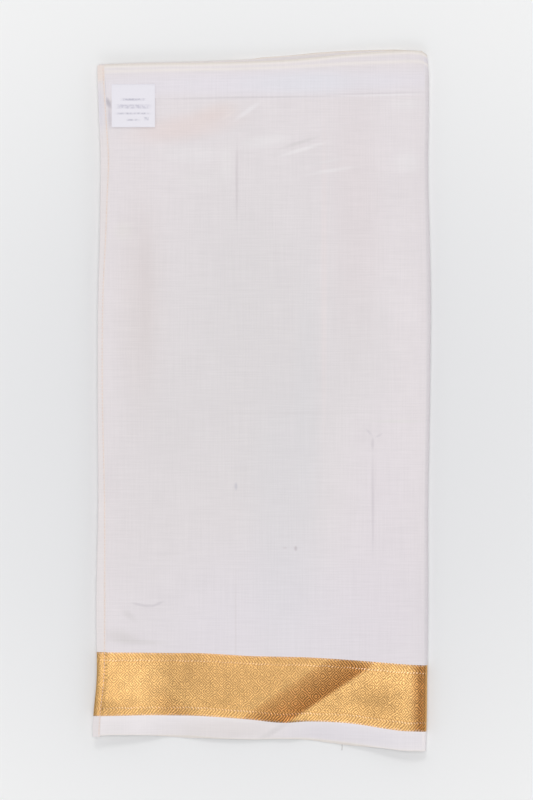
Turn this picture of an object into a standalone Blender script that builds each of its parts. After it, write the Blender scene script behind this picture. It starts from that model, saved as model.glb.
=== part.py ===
"""A silk dhoti with a zari border, folded as for a shelf and lying flat.

The cloth is one woven length, folded once along its length so that its two borders meet
at the foot, then turned over and over into panels. Only its outer turn shows: the front
panel, the turn at the right and the back panel. The panels between them are one solid.

X runs across the panel, from the hemmed end at the left to the last turn at the right.
Y runs from the borders at the foot to the long fold at the top. Z is up, and the back
panel lies on Z = 0. Sizes are in millimetres, and the meshes are made in metres.
"""

import bisect
import math
from collections import namedtuple

import bmesh
import bpy

MM = 0.001

# Driving sizes
PANEL_WIDTH = 305.0  # one twelfth of a length of 3.66 m
WALL = 1.0  # the outer turn: two layers of silk that lie together
GAP = 0.3  # between pieces, at seams and where one lies on another
TURN_BULGE = 4.2  # how far the last turn rounds out past the flat of the panels
BACK_INSET = 2.5  # how far the back panel's end stops short of the hem above it
HEM_WIDTH = 7.2  # about; the table of sections gives it at each place
HEM_RISE = 0.6  # how far the turned hem stands above the panel
BAND_RISE = 0.4  # the doubled stretch below the long fold
BAND_STEP = 1.2  # how wide its step down to the panel is
LABEL_WIDTH, LABEL_HEIGHT, LABEL_THICK = 41.0, 38.5, 0.6
LABEL_CORNER = (-139.4, 289.6)  # its top left corner
LAYERS_CORNER = 5.0  # corner radius of the folded panels inside
GROOVE = 1.3  # how deep the grooves between the folded panels are

# How finely each piece is divided
SILK_COLUMNS, BORDER_COLUMNS = 24, 46
ROLL_COLUMNS, TURN_COLUMNS, BACK_COLUMNS = 4, 7, 7
BAND_ROWS, WRINKLE_ROWS, PLAIN_ROWS, BORDER_ROWS, SELVEDGE_ROWS = 3, 11, 13, 11, 4
WRINKLED_LENGTH = 80.0  # below the band, where the silk is wrinkled
LABEL_CELLS = 5
LAYERS_COLUMNS, LAYERS_ROWS = 16, 24
EDGE_STEPS = (0.0, 2.0, 5.0, 10.0)  # closer rows and columns at the inner panels' edges

# Where the cloth's cross lines lie along Y, at places across it. front_top is the front
# panel's long fold, band_foot the foot of its doubled stretch, layers_* the panels inside
# and back_* the back panel, which reaches past the others on the right. foot_drop is how far
# the front panel's foot hangs below the stack's top.
Edge = namedtuple(
    "Edge",
    "across front_top band_foot border_top border_foot front_foot"
    " layers_top layers_foot back_top back_foot foot_drop",
)
EDGES = (
    Edge(-156.0, 307.6, 276.9, -231.8, -290.7, -310.0, 308.8, -298.0, 299.0, -296.0, 0.8),
    Edge(-140.0, 308.6, 277.0, -232.2, -290.8, -308.4, 309.8, -297.0, 299.5, -296.0, 0.9),
    Edge(-103.0, 309.6, 277.2, -232.4, -290.1, -309.0, 310.7, -297.0, 301.0, -296.5, 4.2),
    Edge(-57.0, 310.2, 277.4, -232.6, -290.5, -310.3, 311.6, -299.0, 305.5, -298.0, 5.8),
    Edge(-11.0, 311.4, 278.8, -235.6, -294.5, -312.8, 313.6, -300.0, 315.0, -299.0, 5.0),
    Edge(20.0, 312.7, 279.4, -235.9, -297.0, -312.3, 315.5, -300.7, 317.2, -299.7, 4.8),
    Edge(45.0, 314.8, 280.1, -236.6, -295.8, -312.6, 317.8, -302.0, 320.0, -301.0, 6.0),
    Edge(81.0, 318.6, 282.0, -239.2, -298.4, -316.5, 320.3, -306.0, 322.2, -305.0, 5.4),
    Edge(127.0, 321.3, 283.0, -242.8, -304.2, -322.4, 322.2, -315.0, 323.2, -313.0, 1.4),
    Edge(146.0, 321.2, 283.3, -244.0, -305.2, -323.3, 321.6, -317.0, 322.6, -315.0, 0.8),
    Edge(156.0, 319.6, 283.4, -244.6, -305.8, -323.6, 319.6, -317.0, 319.6, -315.0, 0.8),
)

# The stack's sides, its height and its hem's width, at places along Y
Section = namedtuple("Section", "along left right left_height middle_height right_height hem")
SECTIONS = (
    Section(-325.0, -155.9, 151.0, 8.4, 8.4, 9.2, 7.0),
    Section(-310.0, -155.9, 151.4, 8.8, 8.5, 9.6, 7.0),
    Section(-290.0, -155.2, 151.9, 9.1, 8.6, 9.9, 7.4),
    Section(-258.0, -152.3, 152.2, 9.2, 9.4, 10.1, 8.0),
    Section(-232.0, -152.0, 152.6, 9.1, 9.8, 10.0, 8.4),
    Section(-184.0, -152.4, 153.0, 8.6, 9.4, 9.8, 9.0),
    Section(-92.0, -150.7, 153.0, 8.4, 9.0, 9.6, 7.0),
    Section(0.0, -151.2, 154.6, 8.4, 9.0, 9.6, 5.5),
    Section(92.0, -150.8, 155.6, 8.4, 9.0, 9.6, 5.4),
    Section(150.0, -149.2, 154.4, 8.4, 9.0, 9.6, 6.5),
    Section(184.0, -148.8, 153.5, 8.4, 9.0, 9.6, 7.4),
    Section(222.0, -148.4, 153.0, 8.4, 9.0, 9.5, 8.4),
    Section(258.0, -149.9, 153.6, 8.2, 8.8, 9.2, 7.6),
    Section(300.0, -151.5, 153.6, 7.6, 8.2, 8.7, 6.6),
    Section(312.0, -151.6, 152.8, 6.5, 7.1, 7.7, 6.6),
    Section(325.0, -151.6, 151.8, 4.8, 5.2, 5.8, 6.6),
)
# The sides' heights pass into the middle height between these shares across
LEFT_EASE, RIGHT_EASE = (0.10, 0.26), (0.76, 1.0)
ROLL_WIDTH, ROLL_DROP = 12.0, 1.5  # the panel rolls down before its turn
DROOP_REACH = 16.0  # how far up from its foot the front panel droops

# The largest folds of the front panel: soft ridges, each at a place, turned by an angle
# from X, with a falling-off length each way and a width on its upper and lower side
Fold = namedtuple("Fold", "x y angle length upper_width lower_width rise")
FOLDS = (
    Fold(-50.0, -222.0, 0.0, 48.0, 40.0, 46.0, 1.5),  # three soft ones across the border
    Fold(-140.0, -276.0, 0.0, 12.0, 8.0, 9.0, 0.4),
    Fold(113.0, -266.0, -15.0, 18.0, 12.0, 12.0, 0.3),
    Fold(23.0, -309.0, 80.0, 26.0, 9.0, 9.0, 0.8),  # the wave in the foot
    Fold(-14.0, 266.0, 34.0, 18.0, 5.0, 6.0, 0.7),  # three that run in from the long fold
    Fold(42.0, 240.0, 16.0, 36.0, 6.0, 8.0, 0.8),
    Fold(59.0, 212.0, 15.0, 36.0, 6.0, 9.0, 0.6),
    Fold(-123.0, -214.0, 4.0, 30.0, 7.0, 6.0, 0.7),  # above the border, beside the hem
)

# The tuck across the border: from a line at a place and an angle, the cloth rises on its
# upper side to a crest and falls away slowly past it. Toward each end it holds so far from
# its place, and is gone so far from it.
TUCK_X, TUCK_Y, TUCK_ANGLE = 60.7, -271.4, 34.0
TUCK_UPPER_END, TUCK_LOWER_END = (46.0, 80.0), (105.0, 140.0)
TUCK_CREST, TUCK_FALL, TUCK_RISE, TUCK_SHAPE = 28.0, 60.0, 2.1, 1.5

# The folded panels inside, from the lowest up. toward_back says how much of the way each
# one's ends lie from the layers_* lines to the back_* lines; end_inset is how far its
# left edge stops short of the hem above it.
Layer = namedtuple("Layer", "toward_back end_inset")
LAYERS = (
    Layer(0.86, 2.3),
    Layer(0.42, 1.0),
    Layer(0.60, 1.9),
    Layer(0.10, 0.6),
    Layer(0.00, 1.5),
)
SHOULDER_SHARE = 0.22  # of a layer's thickness, which its rounding takes at each side
SHOULDER_INSET = 0.25

Finish = namedtuple("Finish", "name colour roughness metallic")
IVORY_SILK = Finish("ivory silk", (0.76, 0.71, 0.71), 0.55, 0.0)
GOLD_ZARI = Finish("gold zari", (0.67, 0.39, 0.14), 0.42, 0.75)
SELVEDGE_SILK = Finish("selvedge silk", (0.79, 0.73, 0.74), 0.6, 0.0)
FOLDED_SILK = Finish("folded silk", (0.70, 0.64, 0.63), 0.6, 0.0)
LABEL_SATIN = Finish("label satin", (0.80, 0.78, 0.84), 0.5, 0.0)


def mix(a, b, share):
    return a + (b - a) * share


def ease(low, high, at):
    """0 below low, 1 above high, and a smooth rise between them."""
    t = min(max((at - low) / (high - low), 0.0), 1.0)
    return t * t * (3 - 2 * t)


def even_shares(count, first=0.0, last=1.0):
    return [mix(first, last, i / count) for i in range(count + 1)]


def curve(rows, place, column, at):
    """One column of a table at a place between its rows, on a smooth curve through them."""
    places = [getattr(row, place) for row in rows]
    values = [getattr(row, column) for row in rows]
    at = min(max(at, places[0]), places[-1])
    last = min(bisect.bisect_right(places, at), len(rows) - 1)
    first = last - 1
    span = places[last] - places[first]
    slopes = []
    for row in (first, last):
        before, after = max(row - 1, 0), min(row + 1, len(rows) - 1)
        slopes.append(span * (values[after] - values[before]) / (places[after] - places[before]))
    t = (at - places[first]) / span
    rise = values[last] - values[first]
    bend = t * t * (3 - 2 * t) * rise
    leave = (t * t * t - 2 * t * t + t) * slopes[0]
    arrive = (t * t * t - t * t) * slopes[1]
    return values[first] + bend + leave + arrive


def edge(column, x):
    return curve(EDGES, "across", column, x)


def section(column, y):
    return curve(SECTIONS, "along", column, y)


def stack_height(x, y):
    """The top of the folded stack, before its folds."""
    left, right = section("left", y), section("right", y)
    across = (x - left) / (right - left)
    middle = section("middle_height", y)
    height = mix(section("left_height", y), middle, ease(*LEFT_EASE, across))
    height = mix(height, section("right_height", y), ease(*RIGHT_EASE, across))
    roll_start = right - TURN_BULGE - ROLL_WIDTH
    into_roll = min(max((x - roll_start) / ROLL_WIDTH, 0.0), 1.0)
    from_foot = max(y - edge("front_foot", x), 0.0)
    droop = edge("foot_drop", x) * max(1 - from_foot / DROOP_REACH, 0.0) ** 2
    return height - ROLL_DROP * into_roll**2 - droop


def from_line(x, y, line_x, line_y, angle):
    """How far a point is along a line from its place, and how far above the line."""
    turn = math.radians(angle)
    dx, dy = x - line_x, y - line_y
    along = dx * math.cos(turn) + dy * math.sin(turn)
    return along, dy * math.cos(turn) - dx * math.sin(turn)


def tuck_rise(x, y):
    along, up = from_line(x, y, TUCK_X, TUCK_Y, TUCK_ANGLE)
    if up <= 0.0:
        return 0.0
    if up < TUCK_CREST:
        share = 1 - (1 - up / TUCK_CREST) ** TUCK_SHAPE
    else:
        share = math.exp(-(((up - TUCK_CREST) / TUCK_FALL) ** 2))
    gone = max(ease(*TUCK_UPPER_END, along), ease(*TUCK_LOWER_END, -along))
    return TUCK_RISE * share * (1 - gone)


def fold_rise(x, y):
    """How far the folds lift the front panel off the layers under it."""
    total = tuck_rise(x, y)
    for fold in FOLDS:
        along, up = from_line(x, y, fold.x, fold.y, fold.angle)
        width = fold.upper_width if up > 0 else fold.lower_width
        total += fold.rise * math.exp(-((along / fold.length) ** 2) - (up / width) ** 2)
    return total


def band_rise(x, y):
    """The doubled stretch below the long fold, and its step down to the panel."""
    foot = edge("band_foot", x)
    return BAND_RISE * ease(foot - BAND_STEP / 2, foot + BAND_STEP / 2, y)


def panel_height(x, y):
    """The front panel's face."""
    return stack_height(x, y) + fold_rise(x, y) + band_rise(x, y)


# Meshes and materials


def finish_object(name, mesh_points, finish):
    """An object of its own, with its own material, from a bmesh in millimetres."""
    bmesh.ops.recalc_face_normals(mesh_points, faces=mesh_points.faces)
    bmesh.ops.scale(mesh_points, vec=(MM, MM, MM), verts=mesh_points.verts)
    mesh = bpy.data.meshes.new(name)
    mesh_points.to_mesh(mesh)
    mesh_points.free()
    mesh.shade_smooth()
    mesh.set_sharp_from_angle(angle=math.radians(40))
    material = bpy.data.materials.new(finish.name)
    material.use_nodes = True
    shader = material.node_tree.nodes["Principled BSDF"]
    shader.inputs["Base Color"].default_value = (*finish.colour, 1.0)
    shader.inputs["Roughness"].default_value = finish.roughness
    shader.inputs["Metallic"].default_value = finish.metallic
    mesh.materials.append(material)
    piece = bpy.data.objects.new(name, mesh)
    bpy.context.scene.collection.objects.link(piece)
    return piece


def add_grid(mesh, rows):
    """The faces of a grid of points, and its rim as one closed loop of corners."""
    corners = [[mesh.verts.new(point) for point in row] for row in rows]
    for upper, lower in zip(corners, corners[1:]):
        for a, b, c, d in zip(upper, upper[1:], lower[1:], lower):
            mesh.faces.new((a, b, c, d))
    rim = corners[0][:-1] + [row[-1] for row in corners[:-1]]
    rim += corners[-1][:0:-1] + [row[0] for row in corners[:0:-1]]
    return rim


def join_loops(mesh, upper, lower):
    for i, corner in enumerate(upper):
        mesh.faces.new((upper[i - 1], corner, lower[i], lower[i - 1]))


def make_wall(name, face, lining, finish):
    """A closed wall of cloth between its face and its lining, two grids of points."""
    mesh = bmesh.new()
    join_loops(mesh, add_grid(mesh, face), add_grid(mesh, lining))
    return finish_object(name, mesh, finish)


def make_strip(name, rings, finish):
    """A closed strip through rings of points, flat at both ends."""
    mesh = bmesh.new()
    loops = [[mesh.verts.new(point) for point in ring] for ring in rings]
    for upper, lower in zip(loops, loops[1:]):
        join_loops(mesh, upper, lower)
    mesh.faces.new(loops[0])
    mesh.faces.new(loops[-1])
    return finish_object(name, mesh, finish)


# The outer turn


FRONT_START, FRONT_END = -PANEL_WIDTH / 2 + HEM_WIDTH + GAP, PANEL_WIDTH / 2 - TURN_BULGE


def front_shares(columns):
    """Shares across the front panel, closer together where it rolls down to its turn."""
    roll = 1 - ROLL_WIDTH / (FRONT_END - FRONT_START)
    return even_shares(columns, 0.0, roll) + even_shares(ROLL_COLUMNS, roll, 1.0)[1:]


def turn_row(front_y, back_y, columns):
    """One row of the outer turn: the points of its face, then those of its lining.

    front_y and back_y give Y at a place across the front and the back panel.
    """
    face, lining = [], []
    for share in front_shares(columns):
        y = front_y(mix(FRONT_START, FRONT_END, share))
        left = section("left", y) + section("hem", y) + GAP
        right = section("right", y) - TURN_BULGE
        x = mix(left, right, share)
        z = panel_height(x, y)
        face.append((x, y, z))
        lining.append((x, y, z - WALL))
    radius = face[-1][2] / 2
    front_end, back_end = front_y(FRONT_END), back_y(FRONT_END)
    for i in range(1, TURN_COLUMNS):
        turn = math.pi * i / TURN_COLUMNS
        y = mix(front_end, back_end, ease(0.5, 1.0, i / TURN_COLUMNS))
        middle = section("right", y) - TURN_BULGE
        for points, inset in ((face, 0.0), (lining, WALL)):
            x = middle + (TURN_BULGE - inset) * math.sin(turn)
            points.append((x, y, radius + (radius - inset) * math.cos(turn)))
    for i in range(BACK_COLUMNS + 1):
        y = back_y(mix(FRONT_END, -PANEL_WIDTH / 2, i / BACK_COLUMNS))
        right, left = section("right", y) - TURN_BULGE, section("left", y) + BACK_INSET
        x = mix(right, left, i / BACK_COLUMNS)
        face.append((x, y, 0.0))
        lining.append((x, y, WALL))
    return face, lining


def zone_rows(lines, shares, columns):
    """The rows of one zone of the outer turn.

    lines names the zone's upper and lower line on the front and on the back, and how far
    the zone is cut back from each for the seams. shares are the rows' places between them.
    """
    faces, linings = [], []
    for share in shares:

        def front_y(x, share=share):
            upper = edge(lines.front_upper, x) - lines.upper_cut
            return mix(upper, edge(lines.front_lower, x) + lines.lower_cut, share)

        def back_y(x, share=share):
            upper = edge(lines.back_upper, x) - lines.upper_cut
            return mix(upper, edge(lines.back_lower, x) + lines.lower_cut, share)

        face, lining = turn_row(front_y, back_y, columns)
        faces.append(face)
        linings.append(lining)
    return faces, linings


Zone = namedtuple("Zone", "front_upper front_lower back_upper back_lower upper_cut lower_cut")
SILK = Zone("front_top", "border_top", "back_top", "border_top", 0.0, GAP / 2)
BORDER = Zone("border_top", "border_foot", "border_top", "border_foot", GAP / 2, GAP / 2)
SELVEDGE = Zone("border_foot", "front_foot", "border_foot", "back_foot", GAP / 2, 0.0)


def silk_shares():
    """The silk's rows: the band, its step, the wrinkled stretch, then the plain one."""
    top, foot = edge("front_top", 0.0), edge("border_top", 0.0)
    length, band = top - foot, top - edge("band_foot", 0.0)
    above, below = (band - BAND_STEP / 2) / length, (band + BAND_STEP / 2) / length
    wrinkled = (band + WRINKLED_LENGTH) / length
    shares = even_shares(BAND_ROWS, 0.0, above)
    shares += even_shares(WRINKLE_ROWS, below, wrinkled)
    return shares + even_shares(PLAIN_ROWS, wrinkled, 1.0)[1:]


def make_outer_turn():
    rows = zone_rows(SILK, silk_shares(), SILK_COLUMNS)
    make_wall("outer_turn_silk", *rows, IVORY_SILK)
    rows = zone_rows(BORDER, even_shares(BORDER_ROWS), BORDER_COLUMNS)
    make_wall("outer_turn_border", *rows, GOLD_ZARI)
    rows = zone_rows(SELVEDGE, even_shares(SELVEDGE_ROWS), BORDER_COLUMNS)
    make_wall("outer_turn_selvedge", *rows, SELVEDGE_SILK)


# The hem of the cut end, turned twice: a narrow strip, rounded at its outer edge


def hem_ring(y):
    """The hem's section at one place: round at the left, square at its seam."""
    left = section("left", y)
    seam = left + section("hem", y)
    top = stack_height(seam, y) + band_rise(seam, y) + HEM_RISE
    foot = stack_height(left, y) - WALL
    radius = (stack_height(left, y) + band_rise(seam, y) + HEM_RISE - foot) / 2
    ring = [(seam, y, stack_height(seam, y) - WALL), (seam, y, top)]
    for degrees in (90, 54, 18, -18, -54, -90):
        turn = math.radians(degrees)
        x = left + radius - radius * math.cos(turn)
        ring.append((x, y, foot + radius + radius * math.sin(turn)))
    return ring


def make_hem():
    hem_middle = -PANEL_WIDTH / 2 + HEM_WIDTH / 2
    zones = (
        ("end_hem_silk", SILK, 30, IVORY_SILK),
        ("end_hem_border", BORDER, 8, GOLD_ZARI),
        ("end_hem_selvedge", SELVEDGE, 4, SELVEDGE_SILK),
    )
    for name, lines, count, finish in zones:
        upper = edge(lines.front_upper, hem_middle) - lines.upper_cut
        lower = edge(lines.front_lower, EDGES[0].across) + lines.lower_cut
        rings = [hem_ring(mix(upper, lower, share)) for share in even_shares(count)]
        make_strip(name, rings, finish)


# The label, which lies over the band's step


def make_label():
    face, lining = [], []
    left, top = LABEL_CORNER
    for row in range(LABEL_CELLS + 1):
        y = top - LABEL_HEIGHT * row / LABEL_CELLS
        face.append([])
        lining.append([])
        for column in range(LABEL_CELLS + 1):
            x = left + LABEL_WIDTH * column / LABEL_CELLS
            z = stack_height(x, y) + BAND_RISE + GAP
            lining[-1].append((x, y, z))
            face[-1].append((x, y, z + LABEL_THICK))
    make_wall("label", face, lining, LABEL_SATIN)


# The panels inside, folded one on another


def from_the_edges(length, count):
    """Shares of a length, close together at both ends and even between them."""
    near = [step / length for step in EDGE_STEPS]
    inner = even_shares(count, near[-1], 1 - near[-1])[1:-1]
    return near + inner + [1 - share for share in reversed(near)]


def rounded_corner(from_side, from_end):
    """How far a point near a corner moves in, so that the corner is round."""
    p = max(0.0, 1 - from_side / LAYERS_CORNER)
    q = max(0.0, 1 - from_end / LAYERS_CORNER)
    in_x = p - p * math.sqrt(1 - q * q / 2)
    in_y = q - q * math.sqrt(1 - p * p / 2)
    return in_x * LAYERS_CORNER, in_y * LAYERS_CORNER


def layers_point(across, along, height, reach):
    """A point of the inner panels, at its shares across, along and up the stack."""
    x = mix(-PANEL_WIDTH / 2, PANEL_WIDTH / 2, across)
    back_top, back_foot = edge("back_top", x) - GAP, edge("back_foot", x) + GAP
    top = mix(edge("layers_top", x), back_top, reach.toward_back) - reach.inset
    foot = mix(edge("layers_foot", x), back_foot, reach.toward_back) + reach.inset
    y = mix(foot, top, along)
    left = section("left", y) + reach.end_inset + reach.inset
    bulge = (TURN_BULGE - WALL - GAP) * math.sqrt(max(0.0, 1 - (2 * height - 1) ** 2))
    right = section("right", y) - TURN_BULGE + bulge
    x = mix(left, right, across)
    in_x, in_y = rounded_corner(min(x - left, right - x), min(y - foot, top - y))
    x += math.copysign(in_x, 0.5 - across)
    y += math.copysign(in_y, 0.5 - along)
    z = mix(WALL + GAP, stack_height(x, y) - WALL - GAP, height)
    return x, y, z


Reach = namedtuple("Reach", "height toward_back end_inset inset")


def layer_reaches():
    """The rings up the side: a groove, then each layer's two shoulders and a groove."""
    first, last = LAYERS[0], LAYERS[-1]
    reaches = [Reach(0.0, first.toward_back, first.end_inset, GROOVE)]
    for i, layer in enumerate(LAYERS):
        for share in (SHOULDER_SHARE, 1 - SHOULDER_SHARE):
            height = (i + share) / len(LAYERS)
            reaches.append(Reach(height, layer.toward_back, layer.end_inset, SHOULDER_INSET))
        above = LAYERS[min(i + 1, len(LAYERS) - 1)]
        toward_back = max(layer.toward_back, above.toward_back)
        end_inset = max(layer.end_inset, above.end_inset)
        reaches.append(Reach((i + 1) / len(LAYERS), toward_back, end_inset, GROOVE))
    reaches[-1] = Reach(1.0, last.toward_back, last.end_inset, GROOVE)
    return reaches


def make_inner_layers():
    mesh = bmesh.new()
    across = from_the_edges(PANEL_WIDTH, LAYERS_COLUMNS)
    along = from_the_edges(edge("layers_top", 0.0) - edge("layers_foot", 0.0), LAYERS_ROWS)
    loops = []
    reaches = layer_reaches()
    for reach in reaches:
        if reach in (reaches[0], reaches[-1]):
            rows = [[layers_point(u, v, reach.height, reach) for u in across] for v in along]
            loops.append(add_grid(mesh, rows))
            continue
        rim = [(u, along[0]) for u in across[:-1]] + [(across[-1], v) for v in along[:-1]]
        rim += [(u, along[-1]) for u in across[:0:-1]] + [(across[0], v) for v in along[:0:-1]]
        points = [layers_point(u, v, reach.height, reach) for u, v in rim]
        loops.append([mesh.verts.new(point) for point in points])
    for lower, upper in zip(loops, loops[1:]):
        join_loops(mesh, lower, upper)
    finish_object("inner_layers", mesh, FOLDED_SILK)


for old in list(bpy.data.objects):
    bpy.data.objects.remove(old, do_unlink=True)

make_outer_turn()
make_hem()
make_label()
make_inner_layers()
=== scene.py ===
# %% [markdown]
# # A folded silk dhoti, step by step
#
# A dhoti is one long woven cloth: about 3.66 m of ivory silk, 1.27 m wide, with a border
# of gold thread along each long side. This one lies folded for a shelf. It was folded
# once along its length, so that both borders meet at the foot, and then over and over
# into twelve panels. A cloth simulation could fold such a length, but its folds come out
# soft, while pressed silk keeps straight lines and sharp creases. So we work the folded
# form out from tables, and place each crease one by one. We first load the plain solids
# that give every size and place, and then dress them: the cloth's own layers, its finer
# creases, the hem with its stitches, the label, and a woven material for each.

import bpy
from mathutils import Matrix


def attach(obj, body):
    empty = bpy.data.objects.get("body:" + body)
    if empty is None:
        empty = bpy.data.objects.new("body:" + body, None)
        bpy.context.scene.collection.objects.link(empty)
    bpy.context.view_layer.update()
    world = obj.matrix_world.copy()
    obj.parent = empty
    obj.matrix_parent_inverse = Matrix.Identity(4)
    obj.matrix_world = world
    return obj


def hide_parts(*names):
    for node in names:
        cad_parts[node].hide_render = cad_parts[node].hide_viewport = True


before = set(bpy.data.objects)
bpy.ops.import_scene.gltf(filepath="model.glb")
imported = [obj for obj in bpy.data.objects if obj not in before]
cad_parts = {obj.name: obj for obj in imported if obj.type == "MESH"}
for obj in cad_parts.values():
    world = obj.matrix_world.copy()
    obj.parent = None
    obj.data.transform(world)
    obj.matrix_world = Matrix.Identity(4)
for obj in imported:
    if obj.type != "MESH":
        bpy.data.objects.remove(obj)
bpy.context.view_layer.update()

# %% [markdown]
# ## Sizes first
#
# The solids were made from a few tables: where the cloth's cross lines lie, how high the
# stack stands, and where its largest folds run. The same numbers come back here, a little
# refined, because cloth that follows the same lines fits round the same solids. A smooth
# curve through each column of a table gives a value at any place, and numpy works it out
# for thousands of points at once. Straight lines from row to row would be simpler, but
# they would show as corners in the outline.

# %% The tables of the folded stack, in millimetres
import math
from collections import namedtuple

import bmesh
import bpy
import numpy as np
from mathutils import Vector, noise

MM = 0.001
PER_METRE = 1000.0  # mm: a noise with a scale of PER_METRE / 8 has lumps about 8 mm wide
PANEL_WIDTH = 305.0
CLOTH = 0.9  # the outer turn: two layers of silk that lie together
TURN_BULGE = 4.2
BACK_INSET = 2.5
HEM_WIDTH = 7.2  # about; the table of sections gives it at each place
HEM_RISE = 0.6
BAND_RISE, BAND_STEP = 0.4, 1.2
BORDER_WIDTH = 58.0  # the woven border's real width, from its foot to its top

Edge = namedtuple(
    "Edge",
    "across front_top band_foot border_top border_foot front_foot"
    " layers_top layers_foot back_top back_foot foot_drop",
)
EDGES = (
    Edge(-156.0, 307.6, 276.9, -231.8, -290.7, -310.0, 308.8, -298.0, 299.0, -296.0, 0.8),
    Edge(-140.0, 308.6, 277.0, -232.2, -290.8, -308.4, 309.8, -297.0, 299.5, -296.0, 0.6),
    Edge(-103.0, 309.6, 277.2, -232.4, -290.1, -309.0, 310.7, -297.0, 301.0, -296.5, 4.4),
    Edge(-86.0, 309.8, 277.3, -232.5, -290.2, -309.3, 311.0, -297.7, 302.8, -297.0, 6.9),
    Edge(-57.0, 310.2, 277.4, -232.6, -290.5, -310.3, 311.6, -299.0, 305.5, -298.0, 7.3),
    Edge(-11.0, 311.4, 278.8, -235.2, -293.7, -312.8, 313.6, -300.0, 315.0, -299.0, 6.4),
    Edge(20.0, 312.7, 279.4, -235.9, -297.0, -312.3, 315.5, -300.7, 317.2, -299.7, 6.2),
    Edge(45.0, 314.8, 280.1, -236.6, -295.8, -312.6, 317.8, -302.0, 320.0, -301.0, 7.2),
    Edge(81.0, 318.6, 282.0, -239.0, -297.5, -316.5, 320.3, -306.0, 322.2, -305.0, 6.2),
    Edge(127.0, 321.3, 283.0, -242.8, -304.2, -322.4, 322.2, -315.0, 323.2, -313.0, 1.6),
    Edge(146.0, 321.0, 283.3, -244.0, -305.2, -323.3, 321.5, -317.0, 322.5, -315.0, 0.8),
    Edge(156.0, 317.4, 283.4, -244.6, -305.8, -323.6, 316.6, -317.0, 317.2, -315.0, 0.8),
)

Section = namedtuple("Section", "along left right left_height middle_height right_height hem")
SECTIONS = (
    Section(-325.0, -155.9, 151.0, 8.4, 8.4, 9.2, 7.0),
    Section(-310.0, -155.9, 151.4, 8.8, 8.5, 9.6, 7.0),
    Section(-290.0, -155.2, 151.9, 9.1, 8.6, 9.9, 7.4),
    Section(-258.0, -152.3, 152.2, 9.2, 9.4, 10.1, 8.0),
    Section(-232.0, -152.0, 152.6, 9.1, 9.8, 10.0, 8.4),
    Section(-184.0, -152.4, 153.0, 8.6, 9.4, 9.8, 9.0),
    Section(-92.0, -150.7, 153.0, 8.4, 9.0, 9.6, 7.0),
    Section(0.0, -151.2, 154.6, 8.4, 9.0, 9.6, 5.5),
    Section(92.0, -150.8, 155.6, 8.4, 9.0, 9.6, 5.4),
    Section(150.0, -149.2, 154.4, 8.4, 9.0, 9.6, 6.5),
    Section(184.0, -148.8, 153.5, 8.4, 9.0, 9.6, 7.4),
    Section(222.0, -148.4, 153.0, 8.4, 9.0, 9.5, 8.4),
    Section(258.0, -149.9, 153.6, 8.2, 8.8, 9.2, 7.6),
    Section(300.0, -151.5, 153.6, 7.6, 8.2, 8.7, 6.6),
    Section(312.0, -151.6, 152.8, 6.5, 7.1, 7.7, 6.6),
    Section(325.0, -151.6, 151.8, 4.8, 5.2, 5.8, 6.6),
)
LEFT_EASE, RIGHT_EASE = (0.10, 0.26), (0.76, 1.0)  # shares across, between the heights
ROLL_WIDTH, ROLL_DROP = 12.0, 1.3  # the panel rolls down before its turn
DROOP_REACH, DROOP_SHAPE = 18.0, 1.6  # how far up from its foot the front panel droops
print(len(EDGES), "places across and", len(SECTIONS), "along the stack")

# %% The largest folds, and the tuck across the border
Fold = namedtuple("Fold", "x y angle length upper_width lower_width rise")
FOLDS = (
    Fold(-50.0, -222.0, 0.0, 48.0, 40.0, 46.0, 1.5),
    Fold(-140.0, -276.0, 0.0, 12.0, 8.0, 9.0, 0.4),
    Fold(113.0, -266.0, -15.0, 18.0, 12.0, 12.0, 0.3),
    Fold(23.0, -309.0, 80.0, 26.0, 9.0, 9.0, 0.8),
    Fold(-14.0, 266.0, 34.0, 18.0, 5.0, 6.0, 0.7),
    Fold(42.0, 240.0, 16.0, 36.0, 6.0, 8.0, 0.8),
    Fold(59.0, 212.0, 15.0, 36.0, 6.0, 9.0, 0.6),
    Fold(-123.0, -214.0, 4.0, 30.0, 7.0, 6.0, 0.7),
)
TUCK_X, TUCK_Y, TUCK_ANGLE = 60.7, -271.4, 34.0
TUCK_UPPER_END, TUCK_LOWER_END = (34.0, 62.0), (105.0, 140.0)  # held so far, gone so far
TUCK_CREST, TUCK_FALL, TUCK_RISE, TUCK_SHAPE = 28.0, 60.0, 2.1, 1.5
TUCK_ROUND = 1.6  # half the width over which its line is rounded
print(f"The tuck stands {TUCK_RISE} mm high, and {len(FOLDS)} soft folds are lower")

# %% Smooth curves through the tables


def mix(a, b, share):
    return a + (b - a) * share


def ease(low, high, at):
    """0 below low, 1 above high, and a smooth rise between them."""
    t = np.clip((np.asarray(at, float) - low) / (high - low), 0.0, 1.0)
    return t * t * (3 - 2 * t)


def curve(rows, column, at):
    """One column of a table at any place, on a smooth curve through its rows."""
    places = np.array([row[0] for row in rows])
    values = np.array([getattr(row, column) for row in rows])
    before = np.maximum(np.arange(len(rows)) - 1, 0)
    after = np.minimum(np.arange(len(rows)) + 1, len(rows) - 1)
    slope = (values[after] - values[before]) / (places[after] - places[before])
    at = np.clip(np.asarray(at, float), places[0], places[-1])
    last = np.clip(np.searchsorted(places, at, side="right"), 1, len(rows) - 1)
    first = last - 1
    span = places[last] - places[first]
    t = (at - places[first]) / span
    bend = t * t * (3 - 2 * t) * (values[last] - values[first])
    leave = (t**3 - 2 * t**2 + t) * slope[first] * span
    arrive = (t**3 - t**2) * slope[last] * span
    return values[first] + bend + leave + arrive


def edge(column, x):
    return curve(EDGES, column, x)


def section(column, y):
    return curve(SECTIONS, column, y)


print(f"The long fold is at {edge('front_top', 0.0):.1f} mm in the middle")

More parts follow.
